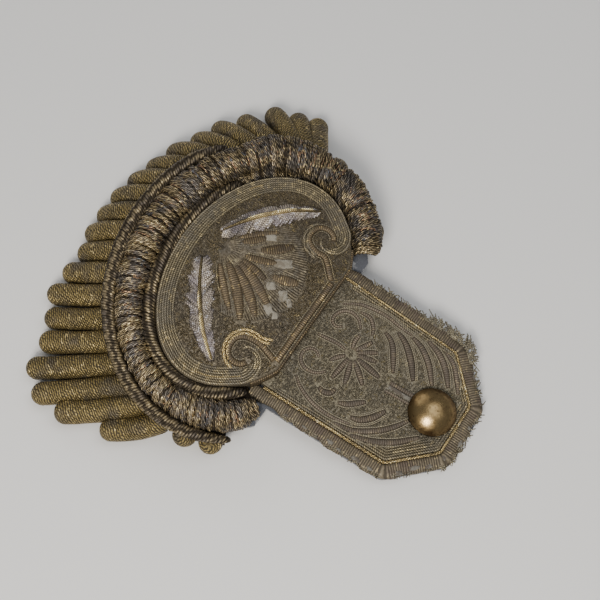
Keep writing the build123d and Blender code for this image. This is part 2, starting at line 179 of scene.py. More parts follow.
def strewn(low: Array, high: Array, spacing: float, seed: int) -> Array:
    """Uneven places a spacing apart, over the oblong between two corners in the plan."""
    spots = np.stack(np.meshgrid(*(np.arange(*ends, spacing) for ends in zip(low, high))), -1).reshape(-1, 2)
    return spots + np.random.default_rng(seed).uniform(-0.4, 0.4, spots.shape) * spacing


@dataclass(frozen=True)
class BodyPlane:
    """The underside of the backing, in whose plane the epaulette is laid out."""

    origin: Array
    x_dir: Array
    y_dir: Array
    up: Array

    @classmethod
    def from_record(cls, record: dict[str, Any], seat_name: str, seat_y: float) -> "BodyPlane":
        """The plane that the record's flat face lies in.

        Args:
            record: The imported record.
            seat_name: The mount on the strap's underside.
            seat_y: The mount's place along the plane's own y.

        Returns:
            The plane.
        """
        seat = next(mount for mount in record["mounts"] if mount["name"] == seat_name)
        up = unit(-np.array(seat["axis"], float))
        pitch = math.atan2(-up[1], up[2])
        roll = math.asin(-up[0])
        x_dir = np.array(
            [math.cos(roll), -math.sin(pitch) * math.sin(roll), math.cos(pitch) * math.sin(roll)]
        )
        y_dir = np.cross(up, x_dir)
        return cls(np.array(seat["pos_m"], float) - y_dir * seat_y, x_dir, y_dir, up)

    def lie(self, flat: Array, height: float | Array) -> Array:
        """Where points of the plan lie over the floor, raised from the plane by a height."""
        raised = np.asarray(height, float)[..., None] * self.up
        return self.origin + flat[..., :1] * self.x_dir + flat[..., 1:2] * self.y_dir + raised


@dataclass(frozen=True)
class Head:
    """The head's oval and the dome over it."""

    middle: Array = field(default_factory=lambda: np.array([5.1, 26.9]) * MM)
    half: Array = field(default_factory=lambda: np.array([46.4, 31.8]) * MM)
    dome_top: float = 15.0 * MM
    dome_top_y: float = 40.0 * MM
    dome_radius: float = 190.0 * MM

    def rim(self, angle: Array, grow: float | Array = 0.0) -> Array:
        """Points of the rim, or of the oval a width outside it, at angles in degrees."""
        width = np.asarray(grow, float)
        return self.middle + (self.half + width[..., None]) * degrees_way(angle)

    def outward(self, angle: Array) -> Array:
        """The directions straight out from the rim."""
        return unit(degrees_way(angle) / self.half)

    def dome(self, flat: Array) -> Array:
        """The dome's height over points of the plane."""
        reach = flat[..., 0] ** 2 + (flat[..., 1] - self.dome_top_y) ** 2
        return self.dome_top - self.dome_radius + np.sqrt(self.dome_radius**2 - reach)

    def depth(self, flat: Array) -> Array:
        """How far inside the rim points lie, roughly, as a length."""
        share = np.linalg.norm((flat - self.middle) / self.half, axis=-1)
        return (1 - share) * self.half[1]


@dataclass(frozen=True)
class Oval:
    """The oval that the crescent's outer rope follows."""

    middle: Array = field(default_factory=lambda: np.array([2.7, 28.8]) * MM)
    half: Array = field(default_factory=lambda: np.array([61.5, 50.6]) * MM)
    turned: float = 13.5

    def point(self, turn: Array, grow: float = 0.0) -> Array:
        """Points of the oval at angles in degrees round it."""
        flat = (self.half + grow) * degrees_way(turn)
        return self.middle + self._rotate(flat, self.turned)

    def reach_from(self, start: Array, way: Array) -> Array:
        """How far the oval lies from points inside it.

        Args:
            start: The points.
            way: The direction to look in from each.

        Returns:
            The distance from each point.
        """
        start = self._rotate(start - self.middle, -self.turned) / self.half
        way = self._rotate(way, -self.turned) / self.half
        a = (way * way).sum(-1)
        b = 2 * (start * way).sum(-1)
        c = (start * start).sum(-1) - 1
        return (-b + np.sqrt(b * b - 4 * a * c)) / (2 * a)

    @staticmethod
    def _rotate(flat: Array, angle: float) -> Array:
        """Flat points turned about the origin by degrees."""
        cos, sin = degrees_way(angle)
        return flat @ np.array([[cos, -sin], [sin, cos]]).T


# Meshes


def frames_along(path: Array, up: Array, carried: bool = False) -> tuple[Array, Array]:
    """The sideways and upward directions across a path.

    Args:
        path: The path's points.
        up: The direction that counts as up.
        carried: Whether up is carried along the path from its start, for a path that may stand.

    Returns:
        The sideways and the upward directions, a row for each point.
    """
    ahead = unit(np.gradient(path, axis=0))
    if not carried:
        side = unit(np.cross(ahead, up))
        return side, np.cross(side, ahead)
    above = np.empty_like(path)
    now = up
    for number, way in enumerate(ahead):
        now = now - way * (now @ way)
        now = now / np.linalg.norm(now)
        above[number] = now
    return np.cross(ahead, above), above


def as_table(values: float | Array) -> Array:
    """One value for all, or one for each row, or one for each row and column, as a table."""
    values = np.asarray(values, float)
    return values if values.ndim == 2 else values.reshape(-1, 1)


def placed(name: str, data: bpy.types.ID) -> Object:
    """Makes an object and links it to the scene.

    Args:
        name: The object's name.
        data: Its mesh, light or camera.

    Returns:
        The new object.
    """
    made = bpy.data.objects.new(name, data)
    bpy.context.scene.collection.objects.link(made)
    return made


class Stock:
    """Faces that are gathered for one piece, with thread coordinates and a tint."""

    def __init__(self) -> None:
        """An empty stock."""
        self._points: list[Array] = []
        self._corners: list[Array] = []
        self._sizes: list[Array] = []
        self._thread: list[Array] = []
        self._tint: list[Array] = []
        self._count = 0

    def grid(self, points: Array, along: Array, around: Array, tint: float | Array = 0.5) -> None:
        """Adds a tube of faces, whose ends are capped.

        Args:
            points: The tube's points, rows along the thread and columns round it.
            along: The thread coordinate of each row.
            around: That of each column, and of the first again.
            tint: The tint of all of it, of each row, or of each point.
        """
        rows, columns = points.shape[:2]
        row, column = (index.reshape(-1, 1) for index in np.indices((rows - 1, columns)))
        row, column = row + (0, 1, 1, 0), column + (0, 0, 1, 1)
        self._corners.append((row * columns + column % columns).ravel() + self._count)
        self._sizes.append(np.full(len(row), 4))
        self._thread.append(np.stack([along[row], around[column]], -1).reshape(-1, 2))
        for first, order in ((0, 1), (rows - 1, -1)):
            ring = np.arange(columns)[::order]
            self._corners.append(first * columns + ring + self._count)
            self._sizes.append(np.array([columns]))
            self._thread.append(np.stack([np.full(columns, along[first]), around[ring]], 1))
        self._points.append(points.reshape(-1, 3))
        self._tint.append(np.broadcast_to(as_table(tint), (rows, columns)).ravel())
        self._count += rows * columns

    def tube(
        self, path: Array, radius: float | Array, sides: int, up: Array, tint: float | Array = 0.5,
        carried: bool = True, flatness: float = 1.0,
    ) -> None:
        """Adds a round tube.

        Args:
            path: The tube's middle line.
            radius: Its radius, for all of it, each row, or each row and side.
            sides: How many sides it has.
            up: The direction that counts as up.
            tint: Its tint.
            carried: Whether up is carried along the path.
            flatness: Its height as a share of its width.
        """
        side, above = frames_along(path, up, carried)
        angle = np.linspace(0, TURN, sides, endpoint=False)
        radius = np.broadcast_to(as_table(radius), (len(path), sides))[..., None]
        ring = side[:, None] * np.cos(angle)[:, None] + above[:, None] * np.sin(angle)[:, None] * flatness
        around = np.linspace(0, TURN * float(radius.mean()), sides + 1)
        self.grid(path[:, None] + ring * radius, arc_lengths(path), around, tint)

    def pad(
        self, path: Array, half_width: Array, top: Array, bottom: float, up: Array, tint: float | Array
    ) -> None:
        """Adds a padded stroke: flat below and domed above.

        Args:
            path: The stroke's middle line.
            half_width: Half of its width at each point.
            top: Its height above the path at each point.
            bottom: Its depth below the path.
            up: The direction that counts as up.
            tint: Its tint.
        """
        side, above = frames_along(path, up)
        angle = np.linspace(0, TURN, PAD_SIDES, endpoint=False)
        lift = np.abs(np.sin(angle)) ** PAD_SQUARE * np.sign(np.sin(angle))
        height = np.where(lift > 0, lift * top[:, None], lift * bottom)
        across = np.sign(np.cos(angle)) * np.abs(np.cos(angle)) ** PAD_SQUARE * half_width[:, None]
        points = path[:, None] + side[:, None] * across[..., None] + above[:, None] * height[..., None]
        around = np.linspace(0, TURN * float(half_width.mean()), PAD_SIDES + 1)
        self.grid(points, arc_lengths(path), around, tint)

    def patch(self, lay: Lay, middle: Array, edge: Array, rings: list[tuple[float, float]]) -> None:
        """Adds a low patch, of rings that are shares of its edge at heights in mm, from the edge in."""
        points = np.stack([lay(middle + share * edge, lift * MM) for share, lift in rings])[::-1]
        self.grid(points, np.arange(len(rings)) * MM, np.arange(len(edge) + 1) * 0.5 * MM)

    def scatter(self, template: "Stock", places: Array, axes: Array, tint: Array) -> None:
        """Adds a copy of a small stock at each of many places.

        Args:
            template: The small stock.
            places: Where the copies go.
            axes: Their x, y and z directions, scaled, as rows of a matrix for each.
            tint: The tint of each copy.
        """
        points = np.vstack(template._points)
        corners = np.concatenate(template._corners)
        copies = np.einsum("pk,nkj->npj", points, axes) + places[:, None]
        shift = np.arange(len(places))[:, None] * len(points) + self._count
        self._points.append(copies.reshape(-1, 3))
        self._corners.append((corners[None] + shift).ravel())
        self._sizes.append(np.tile(np.concatenate(template._sizes), len(places)))
        self._thread.append(np.tile(np.vstack(template._thread), (len(places), 1)))
        self._tint.append(np.repeat(tint, len(points)))
        self._count += len(places) * len(points)

    def piece(self, name: str, finish: "Finish", slot: str, *nodes: str) -> Object:
        """Makes the gathered faces one piece.

        Args:
            name: The piece's name.
            finish: Its finish.
            slot: The record's material slot of its finish, which is not used.
            nodes: The CAD nodes that it stands for.

        Returns:
            The new object, which rides on the body.
        """
        corners = np.concatenate(self._corners)
        sizes = np.concatenate(self._sizes)
        mesh = bpy.data.meshes.new(name)
        mesh.vertices.add(self._count)
        mesh.vertices.foreach_set("co", np.vstack(self._points).astype(np.float32).ravel())
        mesh.loops.add(len(corners))
        mesh.loops.foreach_set("vertex_index", corners.astype(np.int32))
        mesh.polygons.add(len(sizes))
        starts = np.concatenate([[0], np.cumsum(sizes)[:-1]])
        mesh.polygons.foreach_set("loop_start", starts.astype(np.int32))
        mesh.update(calc_edges=True)
        mesh.validate()
        mesh.shade_smooth()
        thread = mesh.uv_layers.new(name=THREAD)
        thread.data.foreach_set("uv", np.vstack(self._thread).astype(np.float32).ravel())
        tint = mesh.attributes.new(TINT, "FLOAT", "POINT")
        tint.data.foreach_set("value", np.concatenate(self._tint).astype(np.float32))
        mesh.materials.append(finish.material)
        made = placed(name, mesh)
        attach(made, "root")
        if nodes:
            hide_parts(*nodes)
        LOG.info("%s: %d faces", name, len(sizes))
        return made


# Shaders


class Wire:
    """A socket of a material's node tree that can be reckoned with."""

    def __init__(self, board: "Board", socket: bpy.types.NodeSocket) -> None:
        """Wraps a socket of a board."""
        self.board = board
        self.socket = socket

    def __add__(self, other: "Wire | float") -> "Wire":
        """The sum."""
        return self.board.math("ADD", self, other)

    __radd__ = __add__

    def __sub__(self, other: "Wire | float") -> "Wire":
        """The difference."""
        return self.board.math("SUBTRACT", self, other)

    def __rsub__(self, other: float) -> "Wire":
        """The difference from a number."""
        return self.board.math("SUBTRACT", other, self)

    def __mul__(self, other: "Wire | float") -> "Wire":
        """The product."""
        return self.board.math("MULTIPLY", self, other)

    __rmul__ = __mul__

    def __truediv__(self, other: "Wire | float") -> "Wire":
        """The quotient."""
        return self.board.math("DIVIDE", self, other)

    def wave(self) -> "Wire":
        """A wave between 0 and 1 that repeats at each whole number."""
        return self.board.math("SINE", self * TURN) * 0.5 + 0.5

    def step(self, low: float, high: float) -> "Wire":
        """A soft step from 0 at low to 1 at high."""
        inputs = {"Value": self, "From Min": low, "From Max": high}
        return self.board.node("ShaderNodeMapRange", {"interpolation_type": "SMOOTHSTEP"}, inputs)


class Board:
    """A material's node tree."""

    def __init__(self, name: str) -> None:
        """Makes an empty material.

        Args:
            name: The material's name.
        """
        self.material = bpy.data.materials.new(name)
        self.material.use_nodes = True
        self.tree = self.material.node_tree
        self.tree.nodes.clear()

    def node(
        self, kind: str, settings: dict[str, Any] | None = None,
        inputs: dict[str | int, Any] | None = None, output: str | int = 0,
    ) -> Wire:
        """Adds a node.

        Args:
            kind: The node's type.
            settings: Its settings, which are set first.
            inputs: The values or wires of its sockets.
            output: The socket that the wire comes from.

        Returns:
            A wire from the node's output.
        """
        made = self.tree.nodes.new(kind)
        for key, value in (settings or {}).items():
            setattr(made, key, value)
        for key, value in (inputs or {}).items():
            if isinstance(value, Wire):
                self.tree.links.new(value.socket, made.inputs[key])
            elif isinstance(value, tuple) and len(value) == 3 and made.inputs[key].type == "RGBA":
                made.inputs[key].default_value = (*value, 1.0)
            else:
                made.inputs[key].default_value = value
        return Wire(self, made.outputs[output]) if made.outputs else Wire(self, made.inputs[0])

    def math(self, operation: str, first: "Wire | float", second: "Wire | float" = 0.0) -> Wire:
        """One step of arithmetic."""
        return self.node("ShaderNodeMath", {"operation": operation}, {0: first, 1: second})

    def mix(
        self, share: "Wire | float", first: "Wire | Colour", second: "Wire | Colour", blend: str = "MIX"
    ) -> Wire:
        """A blend of two colours."""
        inputs = {"Factor": share, MIX_FIRST: first, MIX_SECOND: second}
        return self.node("ShaderNodeMix", {"data_type": "RGBA", "blend_type": blend}, inputs, MIX_RESULT)

    def shade(self, colour: "Wire | Colour", by: Wire) -> Wire:
        """A colour made lighter or darker by a factor."""
        level = self.node("ShaderNodeCombineColor", None, {0: by, 1: by, 2: by})
        return self.mix(1.0, colour, level, "MULTIPLY")

    def place(self) -> Wire:
        """The place on the object, in metres."""
        return self.node("ShaderNodeTexCoord", None, None, "Object")

    def part(self, vector: Wire, axis: str) -> Wire:
        """One of a vector's three parts."""
        return self.node("ShaderNodeSeparateXYZ", None, {"Vector": vector}, axis)

    def thread(self) -> tuple[Wire, Wire]:
        """How far along and round the thread a place is, in metres."""
        where = self.node("ShaderNodeUVMap", {"uv_map": THREAD})
        return self.part(where, "X"), self.part(where, "Y")

    def tint(self) -> Wire:
        """The piece's tint."""
        return self.node("ShaderNodeAttribute", {"attribute_name": TINT}, None, "Fac")

    def noise(self, where: Wire, size: float, detail: float = 2.0, rough: float = 0.5) -> Wire:
        """Noise whose features are of a size in metres."""
        inputs = {"Vector": where, "Scale": 1 / size, "Detail": detail, "Roughness": rough}
        return self.node("ShaderNodeTexNoise", None, inputs)

    def surface(
        self, colour: Wire, rough: Wire, height: Wire, depth: float, metallic: float, **sockets: float
    ) -> Material:
        """Finishes the material.

        Args:
            colour: Its base colour.
            rough: Its roughness.
            height: The relief that its bump follows, from about 0 to 1.
            depth: The depth of that relief in metres.
            metallic: How metallic it is.
            sockets: Other plain numbers of the shader, by name with _ for a space.

        Returns:
            The material.
        """
        bump = self.node("ShaderNodeBump", None, {"Height": height, "Distance": depth, "Strength": 1.0})
        inputs: dict[str | int, Any] = {
            "Base Color": colour, "Roughness": rough, "Metallic": metallic, "Normal": bump,
        }
        inputs.update({name.replace("_", " "): value for name, value in sockets.items()})
        shader = self.node("ShaderNodeBsdfPrincipled", None, inputs)
        self.node("ShaderNodeOutputMaterial", None, {"Surface": shader})
        return self.material


@dataclass(frozen=True)
class ThreadFinish:
    """Fine metal thread, with painted shade between the turns, painted light and glints on them, and tarnish
    in patches.
    """

    name: str
    ridge: Colour
    shaded_valley: Colour
    tarnish: Colour
    glint: Colour
    pitch: float
    slant: float = 0.0
    bead: float = 0.0
    bead_depth: float = 0.3
    turns: float = 0.5
    grain: float = 0.8 * MM
    wander: float = 0.3
    tarnish_from: float = 0.42
    tarnish_to: float = 0.64
    tarnish_size: float = 9.0 * MM
    glint_from: float = 0.6
    glint_soft: float = 0.1
    lit_from: float = 0.32
    lit_to: float = 0.82
    rough: float = 0.42
    metallic: float = 0.75
    depth: float = 0.25 * MM

    def build(self) -> Material:
        """Makes the material.

        Returns:
            The new material.
        """
        board = Board(self.name)
        where = board.place()
        along, around = board.thread()
        drift = board.noise(where, 4 * self.pitch, 1.0) * self.wander
        line = ((along + around * self.slant) / self.pitch + drift).wave()
        stipple = board.noise(where, self.grain, 2.0, 0.6)
        height = line * self.turns + stipple * (1.1 - self.turns)
        if self.bead:
            # Dots along each turn, shifted by half a dot from one turn to the next.
            dots = (around / self.bead + along * (0.5 / self.pitch) + drift).wave() * self.bead_depth
            height = height + dots * line - self.bead_depth * 0.25
        # Painted light on the raised thread and painted shade in the hollows between, following the relief.
        lit = height.step(self.lit_from, self.lit_to)
        patch = board.noise(where, self.tarnish_size, 3.0, 0.6).step(self.tarnish_from, self.tarnish_to)
        colour = board.mix(lit, self.shaded_valley, self.ridge)
        dull = board.mix(lit, self.shaded_valley, self.tarnish)
        colour = board.mix(patch, colour, dull)
        glint_to = self.glint_from + self.glint_soft
        shine = board.noise(where, 1.9 * self.grain, 1.0).step(self.glint_from, glint_to)
        colour = board.mix(shine * lit * (1.0 - patch * 0.6), colour, self.glint)
        colour = board.shade(colour, board.tint() * TINT_GAIN + TINT_BASE)
        rough = patch * 0.16 + (1.0 - lit) * 0.2 + self.rough
        return board.surface(colour, rough, height, self.depth, self.metallic)


@dataclass(frozen=True)
class GroundFinish:
    """A flat ground of laid thread, for a solid that has no thread coordinates."""

    name: str
    ridge: Colour
    shaded_valley: Colour
    tarnish: Colour
    pitch: float
    grain: float
    turned: float = 0.0
    wander: float = 2.6
    wander_size: float = 7.0 * MM
    tarnish_size: float = 12.0 * MM
    rough: float = 0.5
    metallic: float = 0.55
    depth: float = 0.2 * MM

    def build(self) -> Material:
        """Makes the material.

        Returns:
            The new material.
        """
        board = Board(self.name)
        where = board.place()
        rotation = (0, 0, math.radians(self.turned))
        turned = board.node("ShaderNodeMapping", None, {"Vector": where, "Rotation": rotation})
        drift = board.noise(where, self.wander_size) * self.wander
        line = (board.part(turned, "X") / self.pitch + drift).wave()
        stipple = board.noise(where, self.grain, 2.0, 0.65)
        height = line * 0.15 + stipple * 0.95
        # Painted light on the raised thread and painted shade in the hollows between, following the relief.
        lit = height.step(0.36, 0.80)
        patch = board.noise(where, self.tarnish_size, 3.0).step(0.48, 0.62)
        colour = board.mix(lit, self.shaded_valley, self.ridge)
        colour = board.mix(patch, colour, board.mix(lit, self.shaded_valley, self.tarnish))
        return board.surface(colour, (1.0 - lit) * 0.2 + self.rough, height, self.depth, self.metallic)


@dataclass(frozen=True)
class ClothFinish:
    """Plain wool cloth, worn paler in places."""

    name: str
    cloth: Colour
    worn: Colour
    weave: float = 0.55 * MM
    worn_from: float = 0.56

    def build(self) -> Material:
        """Makes the material.

        Returns:
            The new material.
        """
        board = Board(self.name)
        where = board.place()
        x, y = board.part(where, "X"), board.part(where, "Y")
        weave = (x / self.weave).wave() * (y / self.weave).wave()
        fuzz = board.noise(where, 0.9 * MM, 4.0, 0.7)
        worn = board.noise(where, 4 * MM, 4.0, 0.65).step(self.worn_from, self.worn_from + 0.1)
        colour = board.mix(worn, board.shade(self.cloth, weave * 0.3 + fuzz * 0.8 + 0.4), self.worn)
        height = weave * 0.5 + fuzz * 0.5
        return board.surface(colour, fuzz * 0.1 + 0.8, height, 0.2 * MM, 0.0, Sheen_Weight=0.3)


@dataclass(frozen=True)
class BrassFinish:
    """Brass, browner towards the rim and speckled."""

    name: str
    metal: Colour
    brown: Colour

    def build(self) -> Material:
        """Makes the material.

        Returns:
            The new material.
        """
        board = Board(self.name)
        where = board.place()
        speckle = board.noise(where, 1.3 * MM, 4.0, 0.7).step(0.55, 0.68)
        cloud = board.noise(where, 5 * MM, 3.0, 0.6)
        rim = board.tint()
        dull = board.math("MINIMUM", speckle * 0.45 + cloud.step(0.42, 0.7) * 0.4 + rim * 0.75, 1.0)
        colour = board.mix(dull, self.metal, self.brown)
        scratch = board.noise(where, 0.5 * MM, 3.0, 0.7)
        rough = dull * 0.16 + scratch * 0.1 + 0.22
        return board.surface(colour, rough, scratch * 0.3 + cloud, 0.12 * MM, 1.0)


@dataclass(frozen=True)
class PlainFinish:
    """A plain matt surface for the floor."""

    name: str
    colour: Colour
    rough: float

    def build(self) -> Material:
        """Makes the material.

        Returns:
            The new material.
        """
        board = Board(self.name)
        inputs = {"Base Color": self.colour, "Roughness": self.rough}
        shader = board.node("ShaderNodeBsdfPrincipled", None, inputs)
        board.node("ShaderNodeOutputMaterial", None, {"Surface": shader})
        return board.material


class Finish(Enum):
    """The finishes of the epaulette."""

    BULLION = ThreadFinish(
        "bullion_wire",
        ridge=(0.335, 0.25, 0.092), shaded_valley=(0.046, 0.035, 0.018), tarnish=(0.175, 0.148, 0.105),
        glint=(0.9, 0.7, 0.32), pitch=0.95 * MM, slant=0.3, bead=1.3 * MM, bead_depth=0.7,
        turns=0.24, grain=1.0 * MM, wander=1.6, tarnish_from=0.44, tarnish_to=0.72,
        tarnish_size=8 * MM, glint_from=0.62, metallic=0.6,
    )
    ROPE = ThreadFinish(
        "crescent_rope",
        ridge=(0.29, 0.23, 0.135), shaded_valley=(0.052, 0.04, 0.026), tarnish=(0.15, 0.125, 0.1),
        glint=(0.62, 0.5, 0.29), pitch=3.0 * MM, grain=0.9 * MM,
        tarnish_size=6 * MM,
    )
    # Painted shade: the roll is kept dark, for it shows only in the gaps under the bundles; the fringe's
    # heading, under the outer rope, uses it too.
    ROLL = ThreadFinish(
        "crescent_roll",
        ridge=(0.13, 0.1, 0.07), shaded_valley=(0.02, 0.015, 0.01), tarnish=(0.08, 0.065, 0.055),
        glint=(0.5, 0.38, 0.2), pitch=0.6 * MM,
        tarnish_from=0.44, tarnish_size=5 * MM, rough=0.45,
    )
    STRAND = ThreadFinish(
        "crescent_strand",
        ridge=(0.4, 0.31, 0.17), shaded_valley=(0.03, 0.022, 0.015), tarnish=(0.19, 0.17, 0.15),
        glint=(0.95, 0.76, 0.4), pitch=2.0 * MM, slant=-2.8,
        tarnish_from=0.4, tarnish_to=0.62, tarnish_size=6 * MM, glint_from=0.59, rough=0.36,
    )
    LOOSE = ThreadFinish(
        "loose_thread",
        ridge=(0.44, 0.28, 0.16), shaded_valley=(0.05, 0.03, 0.022), tarnish=(0.17, 0.185, 0.2),
        glint=(0.98, 0.78, 0.42), pitch=2.0 * MM, slant=-2.8,
        tarnish_from=0.46, tarnish_to=0.56, tarnish_size=4 * MM, glint_from=0.57, rough=0.36,
    )
    PURL = ThreadFinish(
        "head_purl",
        ridge=(0.35, 0.28, 0.16), shaded_valley=(0.125, 0.1, 0.065), tarnish=(0.235, 0.205, 0.158),
        glint=(0.85, 0.68, 0.34), pitch=0.3 * MM, grain=1.0 * MM,
        tarnish_to=0.62, tarnish_size=8 * MM, rough=0.4, metallic=0.6,
    )
    RIM = ThreadFinish(
        "rim_cord",
        ridge=(0.3, 0.25, 0.152), shaded_valley=(0.105, 0.086, 0.055), tarnish=(0.24, 0.215, 0.165),
        glint=(0.72, 0.58, 0.31), pitch=0.9 * MM, slant=0.7, grain=0.9 * MM,
        tarnish_from=0.4, tarnish_to=0.62, glint_from=0.57, metallic=0.6,
    )
    LAID = ThreadFinish(
        "laid_thread",
        ridge=(0.26, 0.215, 0.14), shaded_valley=(0.095, 0.076, 0.05), tarnish=(0.2, 0.18, 0.145),
        glint=(0.48, 0.41, 0.26), pitch=1.2 * MM, slant=2.4, grain=0.9 * MM, turns=0.15,
        tarnish_from=0.38, tarnish_to=0.6, tarnish_size=8 * MM, metallic=0.5, rough=0.5,
    )
    RIBS = ThreadFinish(
        "ribbed_gold",
        ridge=(0.21, 0.158, 0.09), shaded_valley=(0.095, 0.07, 0.042), tarnish=(0.145, 0.118, 0.085),
        glint=(0.6, 0.44, 0.2), pitch=0.85 * MM, grain=0.9 * MM,
        tarnish_from=0.46, tarnish_size=5 * MM, metallic=0.6,
    )
    SILVER = ThreadFinish(
        "silver_thread",
        ridge=(0.62, 0.53, 0.41), shaded_valley=(0.17, 0.145, 0.125), tarnish=(0.3, 0.265, 0.285),
        glint=(0.95, 0.92, 0.95), pitch=0.9 * MM,
        tarnish_to=0.62, tarnish_size=7 * MM, glint_from=0.58, rough=0.38,
        metallic=0.55,
    )
    BRIGHT = ThreadFinish(
        "bright_gold_cord",
        ridge=(0.8, 0.62, 0.3), shaded_valley=(0.16, 0.11, 0.045), tarnish=(0.42, 0.34, 0.19),
        glint=(1.0, 0.9, 0.6), pitch=0.8 * MM, slant=0.8, grain=0.9 * MM,
        tarnish_from=0.55, tarnish_size=5 * MM, rough=0.32, metallic=0.65,
    )
    STRAP_RELIEF = ThreadFinish(
        "strap_relief",
        ridge=(0.28, 0.245, 0.17), shaded_valley=(0.155, 0.133, 0.092), tarnish=(0.25, 0.225, 0.17),
        glint=(0.46, 0.39, 0.24), pitch=0.9 * MM, slant=0.6, grain=0.9 * MM,
        tarnish_size=8 * MM, metallic=0.5, rough=0.5,
    )
    STRAP_SATIN = ThreadFinish(
        "strap_satin",
        ridge=(0.215, 0.172, 0.125), shaded_valley=(0.11, 0.086, 0.062), tarnish=(0.175, 0.148, 0.118),
        glint=(0.34, 0.27, 0.16), pitch=0.85 * MM, grain=0.9 * MM,
        tarnish_size=6 * MM, metallic=0.5, rough=0.5,
    )
    STRAP_PURL = ThreadFinish(
        "strap_purl",
        ridge=(0.32, 0.28, 0.19), shaded_valley=(0.165, 0.14, 0.096), tarnish=(0.275, 0.25, 0.19),
        glint=(0.62, 0.5, 0.22), pitch=0.3 * MM, grain=1.0 * MM,
        tarnish_to=0.62, rough=0.46, metallic=0.5,
    )
    BINDING = ThreadFinish(
        "binding_thread",
        ridge=(0.175, 0.142, 0.092), shaded_valley=(0.07, 0.056, 0.037), tarnish=(0.155, 0.118, 0.092),
        glint=(0.42, 0.33, 0.18), pitch=0.9 * MM,
        tarnish_from=0.5, tarnish_to=0.62, metallic=0.45, rough=0.52,
    )
    FRAY = ThreadFinish(
        "frayed_thread",
        ridge=(0.28, 0.25, 0.17), shaded_valley=(0.09, 0.075, 0.05), tarnish=(0.23, 0.21, 0.17),
        glint=(0.46, 0.4, 0.26), pitch=0.8 * MM, tarnish_from=0.5, metallic=0.3, rough=0.6,
    )
    HEAD_GROUND = GroundFinish(
        "head_ground",
        ridge=(0.205, 0.17, 0.112), shaded_valley=(0.105, 0.088, 0.06), tarnish=(0.165, 0.145, 0.113),
        pitch=1.0 * MM, grain=0.8 * MM,
    )
    STRAP_GROUND = GroundFinish(
        "strap_ground",
        ridge=(0.26, 0.23, 0.155), shaded_valley=(0.155, 0.132, 0.09), tarnish=(0.22, 0.2, 0.155),
        pitch=0.95 * MM, grain=0.8 * MM, turned=20.0,
    )
    CLOTH = ClothFinish("backing_cloth", cloth=(0.085, 0.09, 0.105), worn=(0.3, 0.3, 0.3))
    WORN = ClothFinish(
        "worn_padding", cloth=(0.3, 0.27, 0.21), worn=(0.17, 0.145, 0.105), worn_from=0.50
    )
    WORN_EDGE = ClothFinish(
        "worn_edge", cloth=(0.175, 0.16, 0.13), worn=(0.09, 0.073, 0.055), worn_from=0.48
    )
    BRASS = BrassFinish("button_brass", metal=(0.43, 0.3, 0.138), brown=(0.06, 0.036, 0.016))
    FLOOR = PlainFinish("floor", colour=(0.8, 0.79, 0.77), rough=0.9)

    @cached_property
    def material(self) -> Material:
        """The finish's material, which is made once."""
        return self.value.build()


def cover(node: str, finish: Finish) -> None:
    """Gives the pack's own solid of a node a finish."""
    frame["nodes"][node].data.materials.clear()
    frame["nodes"][node].data.materials.append(finish.material)


# Crescent and fringe


@dataclass(frozen=True)
class TwistedRope:
    """A rope of strands laid round each other over a core tinted dark, as painted shade in the gaps between
    the strands.
    """

    radius: float
    strands: int
    lead: float
    strand_share: float = 0.56
    core_share: float = 0.0
    flatness: float = 1.0
    sides: int = 7
    rows: int = 4

    def gather(
        self, stock: Stock, path: Array, up: Array, tint: float, seed: int,
        fade: tuple[float, float] = (0.0, 0.0),
    ) -> None:
        """Adds the rope along a path to a stock.

        Args:
            stock: The stock.
            path: The rope's middle line.
            up: The direction that counts as up.
            tint: The rope's tint.
            seed: The seed of its small unevenness.
            fade: The lengths over which it thins and sinks at its start and its end.
        """
        thick = self.radius * self.strand_share
        way = evenly(path, self.lead / self.strands / self.rows)
        along = arc_lengths(way)
        slim = np.ones_like(along)
        for length, away in zip(fade, (along, along[-1] - along)):
            if length:
                slim = np.minimum(slim, 0.3 + 0.7 * np.sqrt(np.clip(away / length, 0, 1)))
        way = way + up * (self.radius * ((1 - self.flatness) * slim - (1 - slim)))[:, None]
        side, above = frames_along(way, up)
        above = above * self.flatness
        if self.core_share:
            # The core's dark tint is painted shade in the gaps between the strands.
            core = self.radius * self.core_share * slim
            stock.tube(way, core, 10, up, -0.5, flatness=self.flatness)
        for number in range(self.strands):
            turned = TURN * (along / self.lead + number / self.strands)
            turned = turned + 0.3 * slow_noise(along, self.lead / 2, seed + number)
            out = side * np.cos(turned)[:, None] + above * np.sin(turned)[:, None]
            size = thick * slim * (1 + 0.16 * slow_noise(along, 2.2 * thick, seed + 20 + number))
            colour = tint * (1 + 0.5 * slow_noise(along, 3 * thick, seed + 40 + number))
            stock.tube(way + out * ((self.radius - thick) * slim)[:, None], size, self.sides, up, colour)


class CrestRow(NamedTuple):
    """The crescent's section at an angle round the head, as shares of its full sizes."""

    angle: float
    ledge: float
    crest: float
    cover: float = 0.0


class BullionRow(NamedTuple):
    """One bullion: its root's angle, the way it leans, and its reach and bends as shares."""

    turn: float
    lean: float
    reach: float
    knee: float
    drape: float
    bow: float = 0.0


CREST = [
    CrestRow(*row)
    for row in (
        (221, 1, 0.66, -0.7), (213, 1, 0.86, -0.1), (206, 1, 0.94), (190, 1, 1),
        (79, 1, 1), (66, 1, 1), (46, 1, 0.99), (34, 0.8, 0.97, 0.75), (22, 0.5, 0.95, 1),
        (5, 0.12, 0.91, 1), (-14, 0.1, 0.87, 1), (-31, 0.1, 0.82, 0.9), (-46, 0.1, 0.66, 0.6),
    )
]

